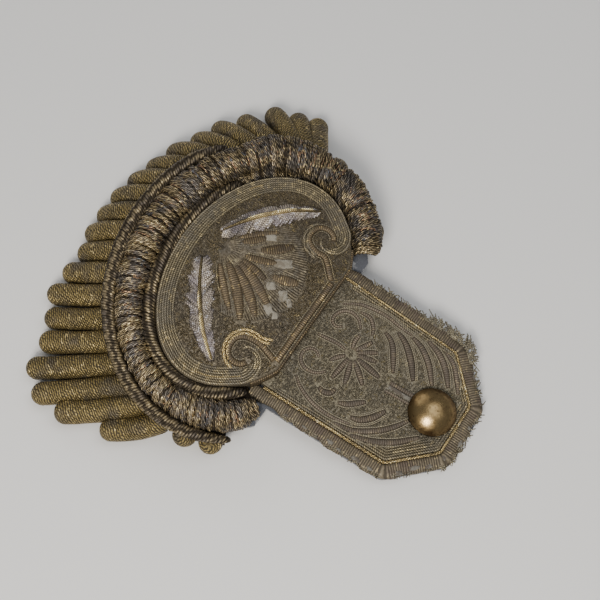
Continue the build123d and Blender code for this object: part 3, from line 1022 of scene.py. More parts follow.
BULLIONS = [
    BullionRow(*row)
    for row in (
        (190, -105, -0.02, 0.5, 0.2), (178.5, -88, -0.02, 0.5, 0.2),
        (167, -40, 0.47, 0.5, 0.1, -0.04), (156, -37, 0.72, 0.5, 0.08, -0.03),
        (146.5, -36, 0.82, 0.5, 0.08), (137, -32, 0.79, 0.5, 0.08), (127.8, -27, 0.63, 0.52, 0.12),
        (118.8, -24, 0.57, 0.54, 0.2), (110, -21, 0.57, 0.56, 0.3), (101.4, -18, 0.47, 0.58, 0.4),
        (92.8, -16, 0.39, 0.6, 0.55), (84.4, -16, 0.42, 0.62, 0.65), (76, -15, 0.42, 0.62, 0.7),
        (67.4, -13, 0.43, 0.62, 0.74), (58.6, -11, 0.43, 0.62, 0.76), (49.4, -9, 0.44, 0.62, 0.78),
        (40, -2, 0.47, 0.62, 0.78), (30.4, 6, 0.48, 0.62, 0.78), (21, 14, 0.55, 0.62, 0.76),
        (11.6, 23, 0.58, 0.62, 0.74), (2, 36, 0.66, 0.62, 0.7, 0.02),
        (-2.8, 48, 0.59, 0.61, 0.66, 0.01), (-7.6, 58, 0.56, 0.6, 0.6), (-17.4, 66, 0.2, 0.55, 0.55),
        (-27.4, 78, 0.14, 0.55, 0.5), (-37.4, 96, 0.05, 0.55, 0.5), (-47.6, 118, -0.02, 0.55, 0.5),
    )
]

# The section of the fringe's heading, in mm: out from the oval, and up.
HEADING = [(-4.6, -2.3), (-4.6, 1.2), (-4.2, 1.5), (0.1, 1.5), (0.5, 1.2), (0.5, -2.3), (0.1, -2.5),
           (-4.2, -2.5)]


@dataclass
class Crescent:
    """The padded crescent: a roll under twisted bundles of thread, between two ropes."""

    plane: BodyPlane
    head: Head
    oval: Oval
    base: float = 1.85 * MM
    gap: float = 0.25 * MM
    inner_radius: float = 2.4 * MM
    inner_play: float = 0.35 * MM
    inner_height: float = 8.4 * MM
    inner_start: float = 219.0
    inner_end: float = 52.0
    outer_radius: float = 3.0 * MM
    outer_height: float = 5.9 * MM
    outer_start: float = 198.0
    outer_end: float = 34.0
    cover_out: float = 2.6 * MM
    cover_lift: float = 0.7 * MM
    crest_height: float = 13.0 * MM
    bulge: float = 0.8
    top_points: int = 26
    sunk: float = 0.75 * MM
    lump: float = 0.3 * MM
    bundle: float = 2.15 * MM
    bundle_radius: float = 1.22 * MM
    bundle_sunk: float = 0.3 * MM
    bundle_lead: float = 6.5 * MM
    bundle_depth: float = 0.24
    bundle_lobes: int = 3
    bundle_sides: int = 12
    bundle_step: float = 0.34 * MM
    loose_threads: int = 420
    loose_radius: float = 0.24 * MM
    row_step: float = 0.5 * MM
    end_turn: float = 6.0
    end_width: float = 0.86
    end_height: float = 0.4
    seed: int = 21
    _rows: tuple[Array, Array] | None = None

    def build(self) -> None:
        """Makes the two ropes, the padded roll and the bundles that cross it."""
        angles = np.linspace(self.outer_start, self.outer_end, 120)
        outer = self.plane.lie(self.oval.point(angles), self.outer_height)
        rope = TwistedRope(
            self.outer_radius - 0.3 * MM, strands=4, lead=4.3 * MM, strand_share=0.2, core_share=0.84,
            flatness=0.66,
        )
        stock = Stock()
        rope.gather(stock, outer, self.plane.up, tint=0.42, seed=3, fade=(22 * MM, 14 * MM))
        stock.piece("outer_rope", Finish.ROPE, "crescent_rope", "crescent_outer_rope")

        angles = np.linspace(self.inner_start, self.inner_end, 100)
        way = self.head.rim(angles, self.inner_radius + self.inner_play)
        inner = self.plane.lie(way, self.inner_height) + self.plane.up * 0.3 * MM
        rope = TwistedRope(
            self.inner_radius + 0.2 * MM, strands=4, lead=4.6 * MM, strand_share=0.21, core_share=0.83,
            flatness=0.62,
        )
        stock = Stock()
        rope.gather(stock, inner, self.plane.up, tint=0.34, seed=9, fade=(8 * MM, 16 * MM))
        stock.piece("inner_rope", Finish.ROPE, "crescent_rope", "crescent_inner_rope")
        self._rows = self._crest_rows()
        self._roll()
        self._bundles()

    def _section(self, angles: Array) -> tuple[Array, Array]:
        """The roll's outline at angles round the head.

        Args:
            angles: The angles in degrees.

        Returns:
            The distance out from the rim and the height of each point, from the foot of the
            ledge over the crest to the foot of the outer side.
        """
        given = np.array(sorted(CREST))
        ledge, crest, cover = (np.interp(angles, given[:, 0], given[:, at]) for at in (1, 2, 3))
        ends = np.clip(np.minimum(CREST[0].angle - angles, angles - CREST[-1].angle) / self.end_turn, 0, 1)
        full = np.sqrt(1 - (1 - ends) ** 2)
        step_out = self.gap + ledge * (2 * self.inner_radius + 2 * self.gap)
        reach = self.oval.reach_from(self.head.rim(angles), self.head.outward(angles))
        outer = reach - (1 - cover) * (self.outer_radius + 2 * self.gap) + cover * self.cover_out
        outer = step_out + (outer - step_out) * (self.end_width + (1 - self.end_width) * full)
        half = (outer - step_out) / 2
        height = self.end_height + (1 - self.end_height) * full
        top = self.base + (crest * self.crest_height - self.base) * height
        foot = self.base + np.maximum(cover, 0) * self.cover_lift
        shoulder = np.maximum(top - self.bulge * half, foot + 0.3 * MM)
        ledge_z = np.minimum(self.inner_height - self.inner_radius - self.gap, shoulder)
        over = np.linspace(math.pi, 0, self.top_points)
        rise = (half * half + (top - shoulder) ** 2) / (2 * (top - shoulder))
        middle = (step_out + half)[:, None]
        spread = middle + half[:, None] * np.cos(over)
        inside = np.clip(rise[:, None] ** 2 - (spread - middle) ** 2, 0, None)
        arch = top[:, None] - rise[:, None] + np.sqrt(inside)
        near, low = np.full_like(angles, self.gap), np.full_like(angles, self.base)
        out = np.column_stack([near, near, step_out, step_out, spread, outer, outer])
        high = np.column_stack(
            [low, ledge_z, ledge_z, (ledge_z + shoulder) / 2, arch, (shoulder + foot) / 2, foot]
        )
        return out, high

    def _surface(self, angles: Array, out: Array, high: Array) -> Array:
        """Where the points of sections lie."""
        flat = self.head.rim(angles)[:, None] + self.head.outward(angles)[:, None] * out[..., None]
        return self.plane.lie(flat, high)

    def _crest_rows(self) -> tuple[Array, Array]:
        """The places of the roll's sections.

        Returns:
            Their angles at even steps along the crest, and how far along each is.
        """
        dense = np.linspace(CREST[0].angle, CREST[-1].angle, 2000)
        out, high = self._section(dense)
        crest = self._surface(dense, out, high)[:, out.shape[1] * 3 // 5]
        along = arc_lengths(crest)
        places = np.linspace(0, along[-1], math.ceil(along[-1] / self.row_step))
        return np.interp(places, along, dense), places

    @staticmethod
    def _lifted(out: Array, high: Array, lift: float | Array) -> tuple[Array, Array]:
        """Sections whose points are lifted square to their outline.

        Args:
            out: How far out from the rim the points are, a row for each section.
            high: How high they are.
            lift: How far they are lifted.

        Returns:
            How far out and how high they then are.
        """
        slope_out, slope_high = np.gradient(out, axis=1), np.gradient(high, axis=1)
        size = np.maximum(np.hypot(slope_out, slope_high), 1e-9)
        return out - slope_high / size * lift, high + slope_out / size * lift

    def _roll(self) -> None:
        """Makes the padded roll under the bundles, slightly sunk and lumpy."""
        angles, along = self._rows
        out, high = self._section(angles)
        across = np.linspace(0, 1, out.shape[1])[None]
        free = smooth(0.06, 0.2, across) * smooth(0.0, 0.12, 1 - across)
        lumps = thread_ridge((along[:, None] + 1.2 * MM * across) / self.bundle)
        out, high = self._lifted(out, high, (self.lump * lumps - self.sunk) * free)
        stock = Stock()
        tint = 0.4 + 0.15 * slow_noise(along, 2.2 * MM, 14)
        around = np.linspace(0, 1, out.shape[1] + 1) * 24 * MM
        stock.grid(self._surface(angles, out, high), along, around, tint)
        made = stock.piece("padded_roll", Finish.ROLL, "crescent_thread", "crescent_roll")

    def _bundle_path(self, place: float, first: float, lean: float, bow: float) -> Array:
        """The middle line of a bundle over the roll.

        Args:
            place: How far along the crest it crosses.
            first: The share of the section that it starts at.
            lean: How far its foot lies along from its start.
            bow: How far its middle bends along the crest.

        Returns:
            Its points, from the rim to the foot of the outer side.
        """
        angles, along = self._rows
        share = np.linspace(0, 1, 36)
        places = place + lean * (share - 0.5) + bow * np.sin(math.pi * share)
        turned = np.interp(np.clip(places, 0, along[-1]), along, angles)
        out, high = self._lifted(*self._section(turned), -self.bundle_sunk)
        index = (first + (0.975 - first) * share) * (out.shape[1] - 1)
        low = np.clip(index.astype(int), 0, out.shape[1] - 2)
        part, rows = index - low, np.arange(len(share))
        where = out[rows, low] * (1 - part) + out[rows, low + 1] * part
        tall = high[rows, low] * (1 - part) + high[rows, low + 1] * part
        flat = self.head.rim(turned) + self.head.outward(turned) * where[:, None]
        path = self.plane.lie(flat, tall)
        path[1:-1] = (path[:-2] + 2 * path[1:-1] + path[2:]) / 4
        return evenly(path, self.bundle_step)

    def _bundles(self) -> None:
        """Lays the twisted bundles of thread side by side over the roll."""
        rng = np.random.default_rng(self.seed)
        angles, along = self._rows
        count = int(along[-1] / self.bundle)
        stock = Stock()
        round_it = np.linspace(0, TURN, self.bundle_sides, endpoint=False)[None]
        for number in range(count + 1):
            place = along[-1] * (number + 0.5 * rng.uniform(-0.35, 0.35)) / count
            turned = np.interp(place, along, angles)
            first = 0.02 + 0.085 * smooth(self.inner_end - 6, self.inner_end + 8, turned)
            lean, bow = rng.normal(-0.8, 1.0) * MM, rng.normal(0, 0.5) * MM
            path = self._bundle_path(place, float(first), lean, bow)
            length = arc_lengths(path)
            size = self.bundle_radius * rng.uniform(0.7, 1.22)
            shape = 0.35 + 0.65 * rounded_ends(length, 1.4 * MM)
            loose = 0.5 * slow_noise(length, 3 * MM, 500 + number)
            twist = TURN * length / self.bundle_lead + loose + rng.uniform(0, TURN)
            strand = np.cos(self.bundle_lobes * (round_it - twist[:, None]))
            uneven = 1 + 0.1 * slow_noise(length, 2.4 * MM, 700 + number)
            radius = size * (shape * uneven)[:, None] * (1 + self.bundle_depth * strand)
            side, top = degrees_way(turned)
            tint = rng.uniform(0.2, 0.9) - 0.4 * side + 0.16 * top
            tint = tint + 0.45 * slow_noise(length, 2 * MM, 900 + number)
            # Painted light on each strand's crest and painted shade in the grooves between the strands.
            tint = tint[:, None] + 0.5 * strand
            stock.tube(path, radius, self.bundle_sides, self.plane.up, tint, flatness=0.85)
        stock.piece("roll_bundles", Finish.STRAND, "crescent_thread")
        self._loose_threads(rng)

    def _loose_threads(self, rng: np.random.Generator) -> None:
        """Lays single shining threads over the bundles.

        Args:
            rng: Where their places are drawn from.
        """
        length = self._rows[1][-1]
        stock = Stock()
        for _ in range(self.loose_threads):
            place = rng.uniform(0, length)
            lean, bow = rng.normal(-1.4, 1.6) * MM, rng.normal(0, 0.6) * MM
            path = self._bundle_path(place, 0.1, lean, bow)
            first = int(rng.uniform(0.02, 0.7) * len(path))
            last = min(len(path), first + int(rng.uniform(0.12, 0.4) * len(path)) + 6)
            part = path[first:last:2] + self.plane.up * (self.bundle_radius * 0.62)
            if len(part) < 4:
                continue
            part = part - self.plane.up * (0.9 * MM * np.linspace(-1, 1, len(part)) ** 2)[:, None]
            size = np.full(len(part), self.loose_radius * rng.uniform(0.8, 1.5))
            stock.tube(part, size, 5, self.plane.up, rng.uniform(0.2, 1.5))
        stock.piece("roll_threads", Finish.LOOSE, "crescent_thread")


@dataclass
class Fringe:
    """The thick bullions and the heading that they hang from."""

    plane: BodyPlane
    oval: Oval
    cad_radius: float = 4.1 * MM
    radius: float = 4.55 * MM
    length: float = 40.0 * MM
    root_drop: float = 2.0 * MM
    sides: int = 24
    winding: float = 1.0 * MM
    winding_depth: float = 0.15 * MM
    step: float = 0.25 * MM
    heading_start: float = 196.0
    heading_end: float = -49.0
    heading_girth: float = 18.0 * MM

    def build(self) -> None:
        """Makes each bullion and the heading."""
        for number, row in enumerate(BULLIONS):
            self._bullion(number, row)
        self._heading()

    def path_of(self, row: BullionRow) -> Array:
        """The middle line of a bullion, from its root to its tip.

        Args:
            row: The bullion's row.

        Returns:
            The line's points at even steps.
        """
        root = self.plane.lie(self.oval.point(np.array(row.turn)), -self.root_drop)
        lean = math.radians(row.lean)
        out = np.array([math.sin(lean), math.cos(lean), 0.0])
        side = np.array([out[1], -out[0], 0.0])
        tip = root + out * (row.reach * self.length)
        tip[2] = self.cad_radius
        bend = root + (tip - root) * row.knee + side * (row.bow * self.length)
        bend[2] = self.cad_radius + row.drape * (root[2] - self.cad_radius)
        share = np.linspace(0, 1, 60)[:, None]
        path = root * (1 - share) ** 2 + bend * 2 * share * (1 - share) + tip * share**2
        beyond = unit(tip - bend) * self.cad_radius
        before = unit(root - bend) * self.cad_radius
        return evenly(np.vstack([root + before, path, tip + beyond]), self.step)

    def _bullion(self, number: int, row: BullionRow) -> None:
        """Makes one bullion, wound with wire from end to end.

        Args:
            number: Its place in the row, which seeds its unevenness.
            row: Its root, lean, reach and bends.
        """
        path = self.path_of(row)
        path[:, 2] += self.radius - self.cad_radius
        along = arc_lengths(path)
        shape = np.maximum(rounded_ends(along, self.radius), 0.02)
        swell = 1 + 0.03 * slow_noise(along, 6 * MM, 100 + number)
        angle = np.linspace(0, TURN, self.sides, endpoint=False)[None]
        wander = 0.3 * slow_noise(along, 2.5 * MM, 200 + number)[:, None]
        phase = along[:, None] / self.winding + angle / TURN + wander
        turns = thread_ridge(phase)
        depth = self.winding_depth * (0.7 + 0.5 * slow_noise(np.floor(phase) * MM, 1 * MM, 300 + number))
        radius = self.radius * (shape * swell)[:, None] - depth * (1 - turns) * shape[:, None]
        stock = Stock()
        tint = 0.5 + 0.15 * slow_noise(along, 5 * MM, 400 + number) + 0.1 * math.sin(number * 2.4)
        stock.tube(path, radius, self.sides, self.plane.up, tint)
        name = f"bullion_{number + 1:02d}"
        stock.piece(name, Finish.BULLION, "bullion_wire", "bullion_fringe")

    def _heading(self) -> None:
        """Makes the strip that holds the bullions together under the outer rope."""
        turns = np.linspace(self.heading_start, self.heading_end, 240)
        rows = [self.plane.lie(self.oval.point(turns, out), high) for out, high in np.array(HEADING) * MM]
        points = np.stack(rows, axis=1)
        stock = Stock()
        around = np.linspace(0, self.heading_girth, len(HEADING) + 1)
        stock.grid(points[:, ::-1], arc_lengths(points[:, 0]), around, 0.4)
        stock.piece("fringe_heading", Finish.ROLL, "bullion_wire", "bullion_fringe")


# Embroidery


def leftward(flat: Array) -> Array:
    """The directions straight to the left of a line in the plan."""
    ahead = unit(np.gradient(flat, axis=0))
    return np.column_stack([-ahead[:, 1], ahead[:, 0]])


def beside(flat: Array, gap: float | Array) -> Array:
    """A line that runs beside another in the plan, to its left where the gap is positive."""
    return flat + leftward(flat) * np.reshape(gap, (-1, 1))


def leaf_shape(share: Array, sharp: float, first: float = 0.07, span: float = 0.86) -> Array:
    """The width of a stroke along it, from the first part of a half wave over its span."""
    return np.sin(math.pi * np.clip(first + span * share, 0, 1)) ** sharp


@dataclass
class Needle:
    """Lays cords, satin strokes and cut purl on a surface of the epaulette."""

    lay: Lay
    plane: BodyPlane
    rib: float = 0.8 * MM
    rib_depth: float = 0.15
    seat: float = 0.12 * MM
    edge_radius: float = 0.33 * MM
    kept_clear: list[tuple[Array, float]] = field(default_factory=list)

    def satin(self, stock: Stock, flat: Array, half: Array, top: float, tint: float | Array = 0.5) -> None:
        """Adds a ribbed padded stroke.

        Args:
            stock: The stock that it goes to.
            flat: Its middle line in the plan, at even steps.
            half: Half of its width at each point.
            top: Its height in its middle.
            tint: Its tint.
        """
        along = arc_lengths(flat)
        ribs = thread_ridge(along / self.rib)
        shape = np.maximum(rounded_ends(along, max(half.max(), 0.3 * MM)), 0.1)
        height = top * shape * (1 - self.rib_depth * (1 - ribs))
        width = half * (0.96 + 0.04 * ribs)
        stock.pad(self.lay(flat, self.seat), width, height, self.seat, self.plane.up, tint)
        self.kept_clear.append((flat[::5], float(half.max()) + 0.2 * MM))

    def cord(
        self, stock: Stock, flat: Array, radius: float, lift: float = 0.0, tint: float = 0.5,
        seed: int = 1, vary: float = 0.2,
    ) -> None:
        """Adds a couched cord, slightly uneven.

        Args:
            stock: The stock that it goes to.
            flat: Its line in the plan.
            radius: Its radius.
            lift: How high it is laid over the surface.
            tint: Its tint.
            seed: The seed of its unevenness.
            vary: How much its tint changes along it.
        """
        way = evenly(flat, 0.5 * MM)
        path = self.lay(way, lift + 0.6 * radius)
        along = arc_lengths(path)
        size = radius * (1 + 0.1 * slow_noise(along, 1.1 * MM, seed))
        shade = tint * (1 + vary * slow_noise(along, 3 * MM, seed + 7))
        stock.tube(path, size, 6, self.plane.up, shade)
        self.kept_clear.append((way[::2], radius + 0.15 * MM))

    def edged(self, stock: Stock, flat: Array, half: Array, rows: int = 1, tint: float = 0.6) -> None:
        """Adds cords along both sides of a stroke.

        Args:
            stock: The stock that they go to.
            flat: The stroke's middle line.
            half: Half of its width at each point.
            rows: How many cords lie on each side.
            tint: Their tint.
        """
        radius = self.edge_radius
        for row in range(rows):
            for sign in (-1, 1):
                gap = sign * (half + radius + row * 1.9 * radius)
                self.cord(stock, beside(flat, gap), radius, 0.15 * MM, tint * (1 - 0.2 * row), 3 + row)

    def purl(
        self, name: str, finish: Finish, slot: str, spots: Array, long: float, thick: float, seed: int
    ) -> None:
        """Fills what is left free with short cuts of coiled wire.

        Args:
            name: The piece's name.
            finish: Its finish.
            slot: The record's material slot, passed on to the piece.
            spots: Where cuts may lie.
            long: The length of a cut.
            thick: Its radius.
            seed: The seed of their turns.
        """
        rng = np.random.default_rng(seed)
        for points, width in self.kept_clear:
            near = np.all((spots > points.min(0) - width) & (spots < points.max(0) + width), axis=1)
            away = np.full(len(spots), 1.0)
            if near.any():
                away[near] = np.linalg.norm(spots[near][:, None] - points[None], axis=-1).min(1)
            spots = spots[away > width]
        chip = Stock()
        line = np.linspace(-0.5, 0.5, 4)[:, None] * np.array([1.0, 0, 0])
        chip.tube(line, np.array([0.55, 1.0, 1.0, 0.55]), 5, np.array([0, 0, 1.0]), carried=False)
        ahead = degrees_way(rng.uniform(0, 360, len(spots)))
        tilt = rng.uniform(-0.25, 0.25, len(spots))
        ahead = ahead[:, :1] * self.plane.x_dir + ahead[:, 1:] * self.plane.y_dir
        ahead = unit(ahead + tilt[:, None] * self.plane.up)
        side = unit(np.cross(self.plane.up, ahead))
        above = np.cross(ahead, side)
        length = long * rng.uniform(0.7, 1.25, len(spots))[:, None]
        width = thick * rng.uniform(0.8, 1.25, len(spots))[:, None]
        stock = Stock()
        places = self.lay(spots, 0.2 * MM + rng.uniform(0, 0.2, len(spots)) * MM)
        axes = np.stack([ahead * length, side * width, above * width], 1)
        stock.scatter(chip, places, axes, 0.15 + 0.7 * rng.uniform(0.0, 1.0, len(spots)) ** 1.5)
        stock.piece(name, finish, slot)


class FanRow(NamedTuple):
    """One lobe of the fan: its lean at both ends, where it starts and ends, its width and tint."""

    lean_in: float
    lean_out: float
    start: float
    end: float
    width: float
    tint: float


FAN = [
    FanRow(*row)
    for row in (
        (-50, -46, 8, 27, 3.2, 0.4), (-29, -40, 8, 31, 4.4, 0.2), (-19, -30, 11, 32, 4.4, 0.3),
        (-9, -18, 11, 31, 4.2, 0.45), (-1, -4, 11, 23, 3.2, 0.2), (2, 8, 24, 34, 4.2, 0.6),
        (8, 16, 11, 24, 3.2, 0.25), (25, 34, 16, 29, 4.2, 0.05), (38, 43, 9, 19, 3.2, 0.2),
        (51, 47, 8, 24, 2.6, 0.35),
    )
]

# Lines round a volute, in mm: outward from its middle, and up towards the fringe.
RIM_CURL = [(9.6, -5.0), (6.4, -6.9), (2.6, -7.3), (-0.9, -5.9), (-2.7, -2.8), (-2.4, 0.5), (-0.4, 2.0)]
BAND_CURL = [(-5.6, -3.3), (-5.6, 0.4), (-4.6, 4.1), (-2.4, 6.3), (0.9, 6.7), (3.9, 5.3), (5.2, 2.4),
             (4.5, -0.5), (2.6, -1.9)]
GOLD_LOOP = [(-9.6, -5.2), (-8.2, -2.2), (-8.0, 1.9), (-6.5, 5.7), (-2.4, 8.3), (2.5, 8.2), (6.4, 5.0),
             (7.7, 1.4)]

# The worn places of the head, in mm: x, y, size along and across, and their turn in degrees.
WORN_PATCHES = [
    (20.4, 30.4, 5.2, 3.4, -57), (14.3, 20.9, 8.4, 4.4, -57), (4.3, 19.6, 4.2, 3.8, -50),
    (3.9, 13.8, 5.2, 4.2, 33), (3.0, 10.5, 3.6, 2.2, 40), (-3.5, 15.4, 5.0, 3.4, 60),
    (-4.2, 12.0, 3.4, 2.8, 30), (-5.0, 22.0, 1.7, 2.2, 0),
]

# The middle line of a leaf, in mm: outward from the head's middle, and up from the seam.
LEAF_LINE = [(7.0, 46.6), (14.0, 42.6), (22.0, 37.0), (30.0, 29.8), (36.6, 21.4)]

# The shining stretches of the leaves' veins, as shares along them: start, end.
VEIN_GLINTS = {
    Side.LEFT: [(0.34, 0.52), (0.56, 0.74), (0.78, 0.99)],
    Side.RIGHT: [(0.26, 0.5), (0.52, 0.76), (0.8, 0.92)],
}


@dataclass
class HeadEmbroidery:
    """What is worked on the domed oval."""

    plane: BodyPlane
    head: Head
    wall_rows: int = 8
    wall_radius: float = 0.54 * MM
    low_relief: float = 0.8 * MM
    leaf_relief: float = 1.3 * MM
    rim_pitch: float = 0.93 * MM
    bar_width: float = 3.2 * MM
    bar_y: float = 2.0 * MM
    bar_left: float = -17.6 * MM
    bar_right: float = 20.0 * MM
    volute_reach: float = 27.0 * MM
    volute_y: float = 12.8 * MM
    rim_tints: tuple[float, ...] = (0.75, 0.35, 0.6, 0.4, 0.5, 0.3, 0.45)
    leaf_lobes: int = 5
    fan_apex: tuple[float, float] = (6.8, 45.4)
    fan_spread: float = 52.0
    fan_reach: float = 36.0 * MM
    fan_rays: int = 61
    barb_step: float = 0.62 * MM
    barb_length: float = 6.9 * MM
    barb_radius: float = 0.52 * MM
    barb_slant: float = 132.0
    chip_spacing: float = 0.84 * MM
    needle: Needle | None = None

    def build(self) -> None:
        """Makes the embroidery, and last the purl ground that fills what is left."""
        cover("head_plate", Finish.HEAD_GROUND)
        self.needle = Needle(self.on_dome, self.plane)
        self._wall()
        self._rim_band()
        self._base_scroll()
        self._gold_loops()
        for side in Side:
            self._leaf(side)
        self._fan()
        self._worn_patches()
        half = self.head.half
        spots = self.head.middle + strewn(-half, half, self.chip_spacing, 4)
        spots = spots[(self.head.depth(spots) > 0.8 * MM) & (spots[:, 1] > 0.7 * MM)]
        self.needle.purl("head_purl", Finish.PURL, "head_embroidery", spots, 1.2 * MM, 0.28 * MM, 5)

    def on_dome(self, flat: Array, lift: float | Array) -> Array:
        """Where points of the plan lie on the dome."""
        return self.plane.lie(flat, self.head.dome(flat) + lift)

    def by_volute(self, side: Side, points: list[tuple[float, float]]) -> Array:
        """Points round a volute, given in mm outward from its middle and up."""
        middle = np.array([self.head.middle[0] + side.value * self.volute_reach, self.volute_y])
        return middle + np.array(points) * MM * np.array([side.value, 1])

    def _wall(self) -> None:
        """Makes the couched cords down the plate's side, where nothing else covers it."""
        stock = Stock()
        out = np.full(24, 0.25 * MM)
        left = self.head.rim(np.linspace(222, 238, 24), out)
        right = self.head.rim(np.linspace(302, 313, 24), out)
        seam = np.linspace(left[-1], right[0], 60)
        for number in range(self.wall_rows):
            for flat in (left, seam, right):
                height = self.head.dome(flat) - (0.9 + 0.92 * number) * MM
                if height.min() < (5.0 * MM if flat is seam else 2.4 * MM):
                    continue
                # Each lower row is tinted darker: painted shade that deepens down the plate's side.
                tint = 0.35 - 0.1 * number + 0.2 * slow_noise(np.arange(len(flat)) * MM, 3 * MM, 40 + number)
                stock.tube(self.plane.lie(flat, height), self.wall_radius, 6, self.plane.up, tint)
        stock.piece("plate_side", Finish.RIBS, "ribbed_gold")

    def _rim_band(self) -> None:
        """Makes the rows of fine cord inside the rim, which curl in as the volutes."""
        rows, bright = Stock(), Stock()
        for side in Side:
            turns = 90 - side.value * np.linspace(-0.5, 118, 60)
            oval = self.head.rim(turns, np.full(60, -0.85 * MM))
            flat = curve_through(np.vstack([oval, self.by_volute(side, RIM_CURL)]), 0.4 * MM)
            along = arc_lengths(flat)
            for number, tint in enumerate(self.rim_tints):
                line = beside(flat, -side.value * self.rim_pitch * number)
                line = line[along < along[-1] - 3.6 * MM * number]
                self.needle.cord(rows, line, self.rim_pitch * 0.53, 0.1 * MM, tint, 50 + number, 0.45)
            # A short bright cord over part of the rows is a painted highlight, where the rim catches the
            # light.
            first, last = (0.60, 0.80) if side is Side.LEFT else (0.3, 0.36)
            line = beside(flat, -side.value * self.rim_pitch * 2.5)
            line = line[int(first * len(line)) : int(last * len(line))]
            self.needle.cord(bright, line, 0.3 * MM, 0.7 * MM, 0.1, 58, 1.6)
        rows.piece("rim_rows", Finish.RIM, "rim_cord", "rim_border")
        bright.piece("rim_glint_row", Finish.BRIGHT, "bright_gold_cord", "rim_border")

    def _base_scroll(self) -> None:
        """Makes the ribbed bar along the seam, which rises at both ends into the volutes."""
        left = self.by_volute(Side.LEFT, BAND_CURL)[::-1]
        right = self.by_volute(Side.RIGHT, BAND_CURL)
        corner = np.array([(self.bar_left, self.bar_y), (self.bar_right, self.bar_y)])
        stock, edges = Stock(), Stock()
        lines = [
            curve_through(np.vstack([left, corner[:1] + (-0.4 * MM, 0.8 * MM)]), 0.2 * MM),
            evenly(corner, 0.2 * MM),
            curve_through(np.vstack([corner[1:] + (0.4 * MM, 0.8 * MM), right]), 0.2 * MM),
        ]
        for line in lines:
            half = np.full(len(line), 0.36 * self.bar_width)
            self.needle.satin(stock, line, half, self.low_relief * 1.25, 0.5)
            self.needle.edged(edges, line, half, 1, 0.55)
        stock.piece("base_scroll_band", Finish.RIBS, "ribbed_gold", "base_scroll")
        edges.piece("base_scroll_edges", Finish.RIM, "ribbed_gold", "base_scroll")

    def _gold_loops(self) -> None:
        """Makes the gold cords that loop over the volutes."""
        cord = TwistedRope(0.62 * MM, 2, 2.2 * MM, 0.6)
        for side in Side:
            stock = Stock()
            flat = curve_through(self.by_volute(side, GOLD_LOOP), 0.3 * MM)
            for number in range(2):
                line = beside(flat, -side.value * 1.35 * MM * number)
                line = line[int(0.03 * number * len(line)) : int((1 - 0.1 * number) * len(line))]
                if side is Side.RIGHT:
                    line = line[int(0.18 * len(line)) : int(0.8 * len(line))]
                tint = 0.75 if side is Side.LEFT else 0.7
                cord.gather(stock, self.on_dome(line, 0.6 * MM), self.plane.up, tint, 5 + number)
                self.needle.kept_clear.append((line[::3], 0.7 * MM))
            name, node = f"volute_gold_{side.word}", f"volute_cord_{side.word}"
            finish = Finish.BRIGHT if side is Side.LEFT else Finish.RIM
            stock.piece(name, finish, "bright_gold_cord", node)

    def _leaf(self, side: Side) -> None:
        """Makes a lobed silver leaf of slanting threads and the gold vein along it.

        Args:
            side: The side that the leaf is on.
        """
        line = np.array(LEAF_LINE) * MM * np.array([side.value, 1])
        curve = curve_through(line + np.array([self.head.middle[0], 0]), 0.2 * MM)
        self._barbs(side, curve)
        self._vein(side, curve)

    def _barbs(self, side: Side, curve: Array) -> None:
        """Makes a leaf's silver threads, which slant back from its middle line over a pad.

        Args:
            side: The side that the leaf is on.
            curve: Its middle line.
        """
        along = arc_lengths(curve)
        share = along / along[-1]
        ahead = unit(np.gradient(curve, axis=0))
        lobe = self.leaf_lobes * share - np.floor(self.leaf_lobes * share)
        lobed = 0.48 + 0.52 * np.sqrt(1 - (2 * lobe - 1) ** 2)
        reach = self.barb_length * lobed * leaf_shape(share, 0.75, 0.09, 0.83)
        rng = np.random.default_rng(60 + side.value)
        cloud = slow_noise(along, 5 * MM, 62 + side.value)
        stock = Stock()
        self.needle.satin(stock, curve, reach * 0.6, self.leaf_relief * 0.8, 0.1)
        # The barbs keep their own places clear, which reach further out than the pad.
        self.needle.kept_clear.pop()
        for start in np.arange(0.4 * MM, along[-1] - 0.4 * MM, self.barb_step):
            at = int(np.searchsorted(along, start))
            heading = math.degrees(math.atan2(ahead[at][1], ahead[at][0]))
            for lean in (-1, 1):
                dull = 0.7 if side is Side.RIGHT and lean > 0 else 1.0
                length = reach[at] * rng.uniform(0.93, 1.04) * dull * (1 - 0.1 * side.value * lean)
                way = degrees_way(heading + lean * (self.barb_slant + rng.normal(0, 5)))
                span = np.linspace(0, 1, 9)
                bend = -ahead[at] * length * 0.16
                flat = curve[at] + way * (span * length)[:, None] + bend * (span**2)[:, None]
                lift = self.leaf_relief * (1 - 0.72 * span**1.5)
                size = self.barb_radius * (1.1 - 0.3 * span)
                bright = dull - 0.6 + 0.35 * rng.uniform(-1, 1) + 0.45 * cloud[at]
                stock.tube(self.on_dome(flat, lift), size, 6, self.plane.up, bright)
                self.needle.kept_clear.append((flat[::2], 0.5 * MM))
        node = f"silver_leaf_{side.word}"
        stock.piece(f"leaf_{side.word}", Finish.SILVER, "silver_thread", node)

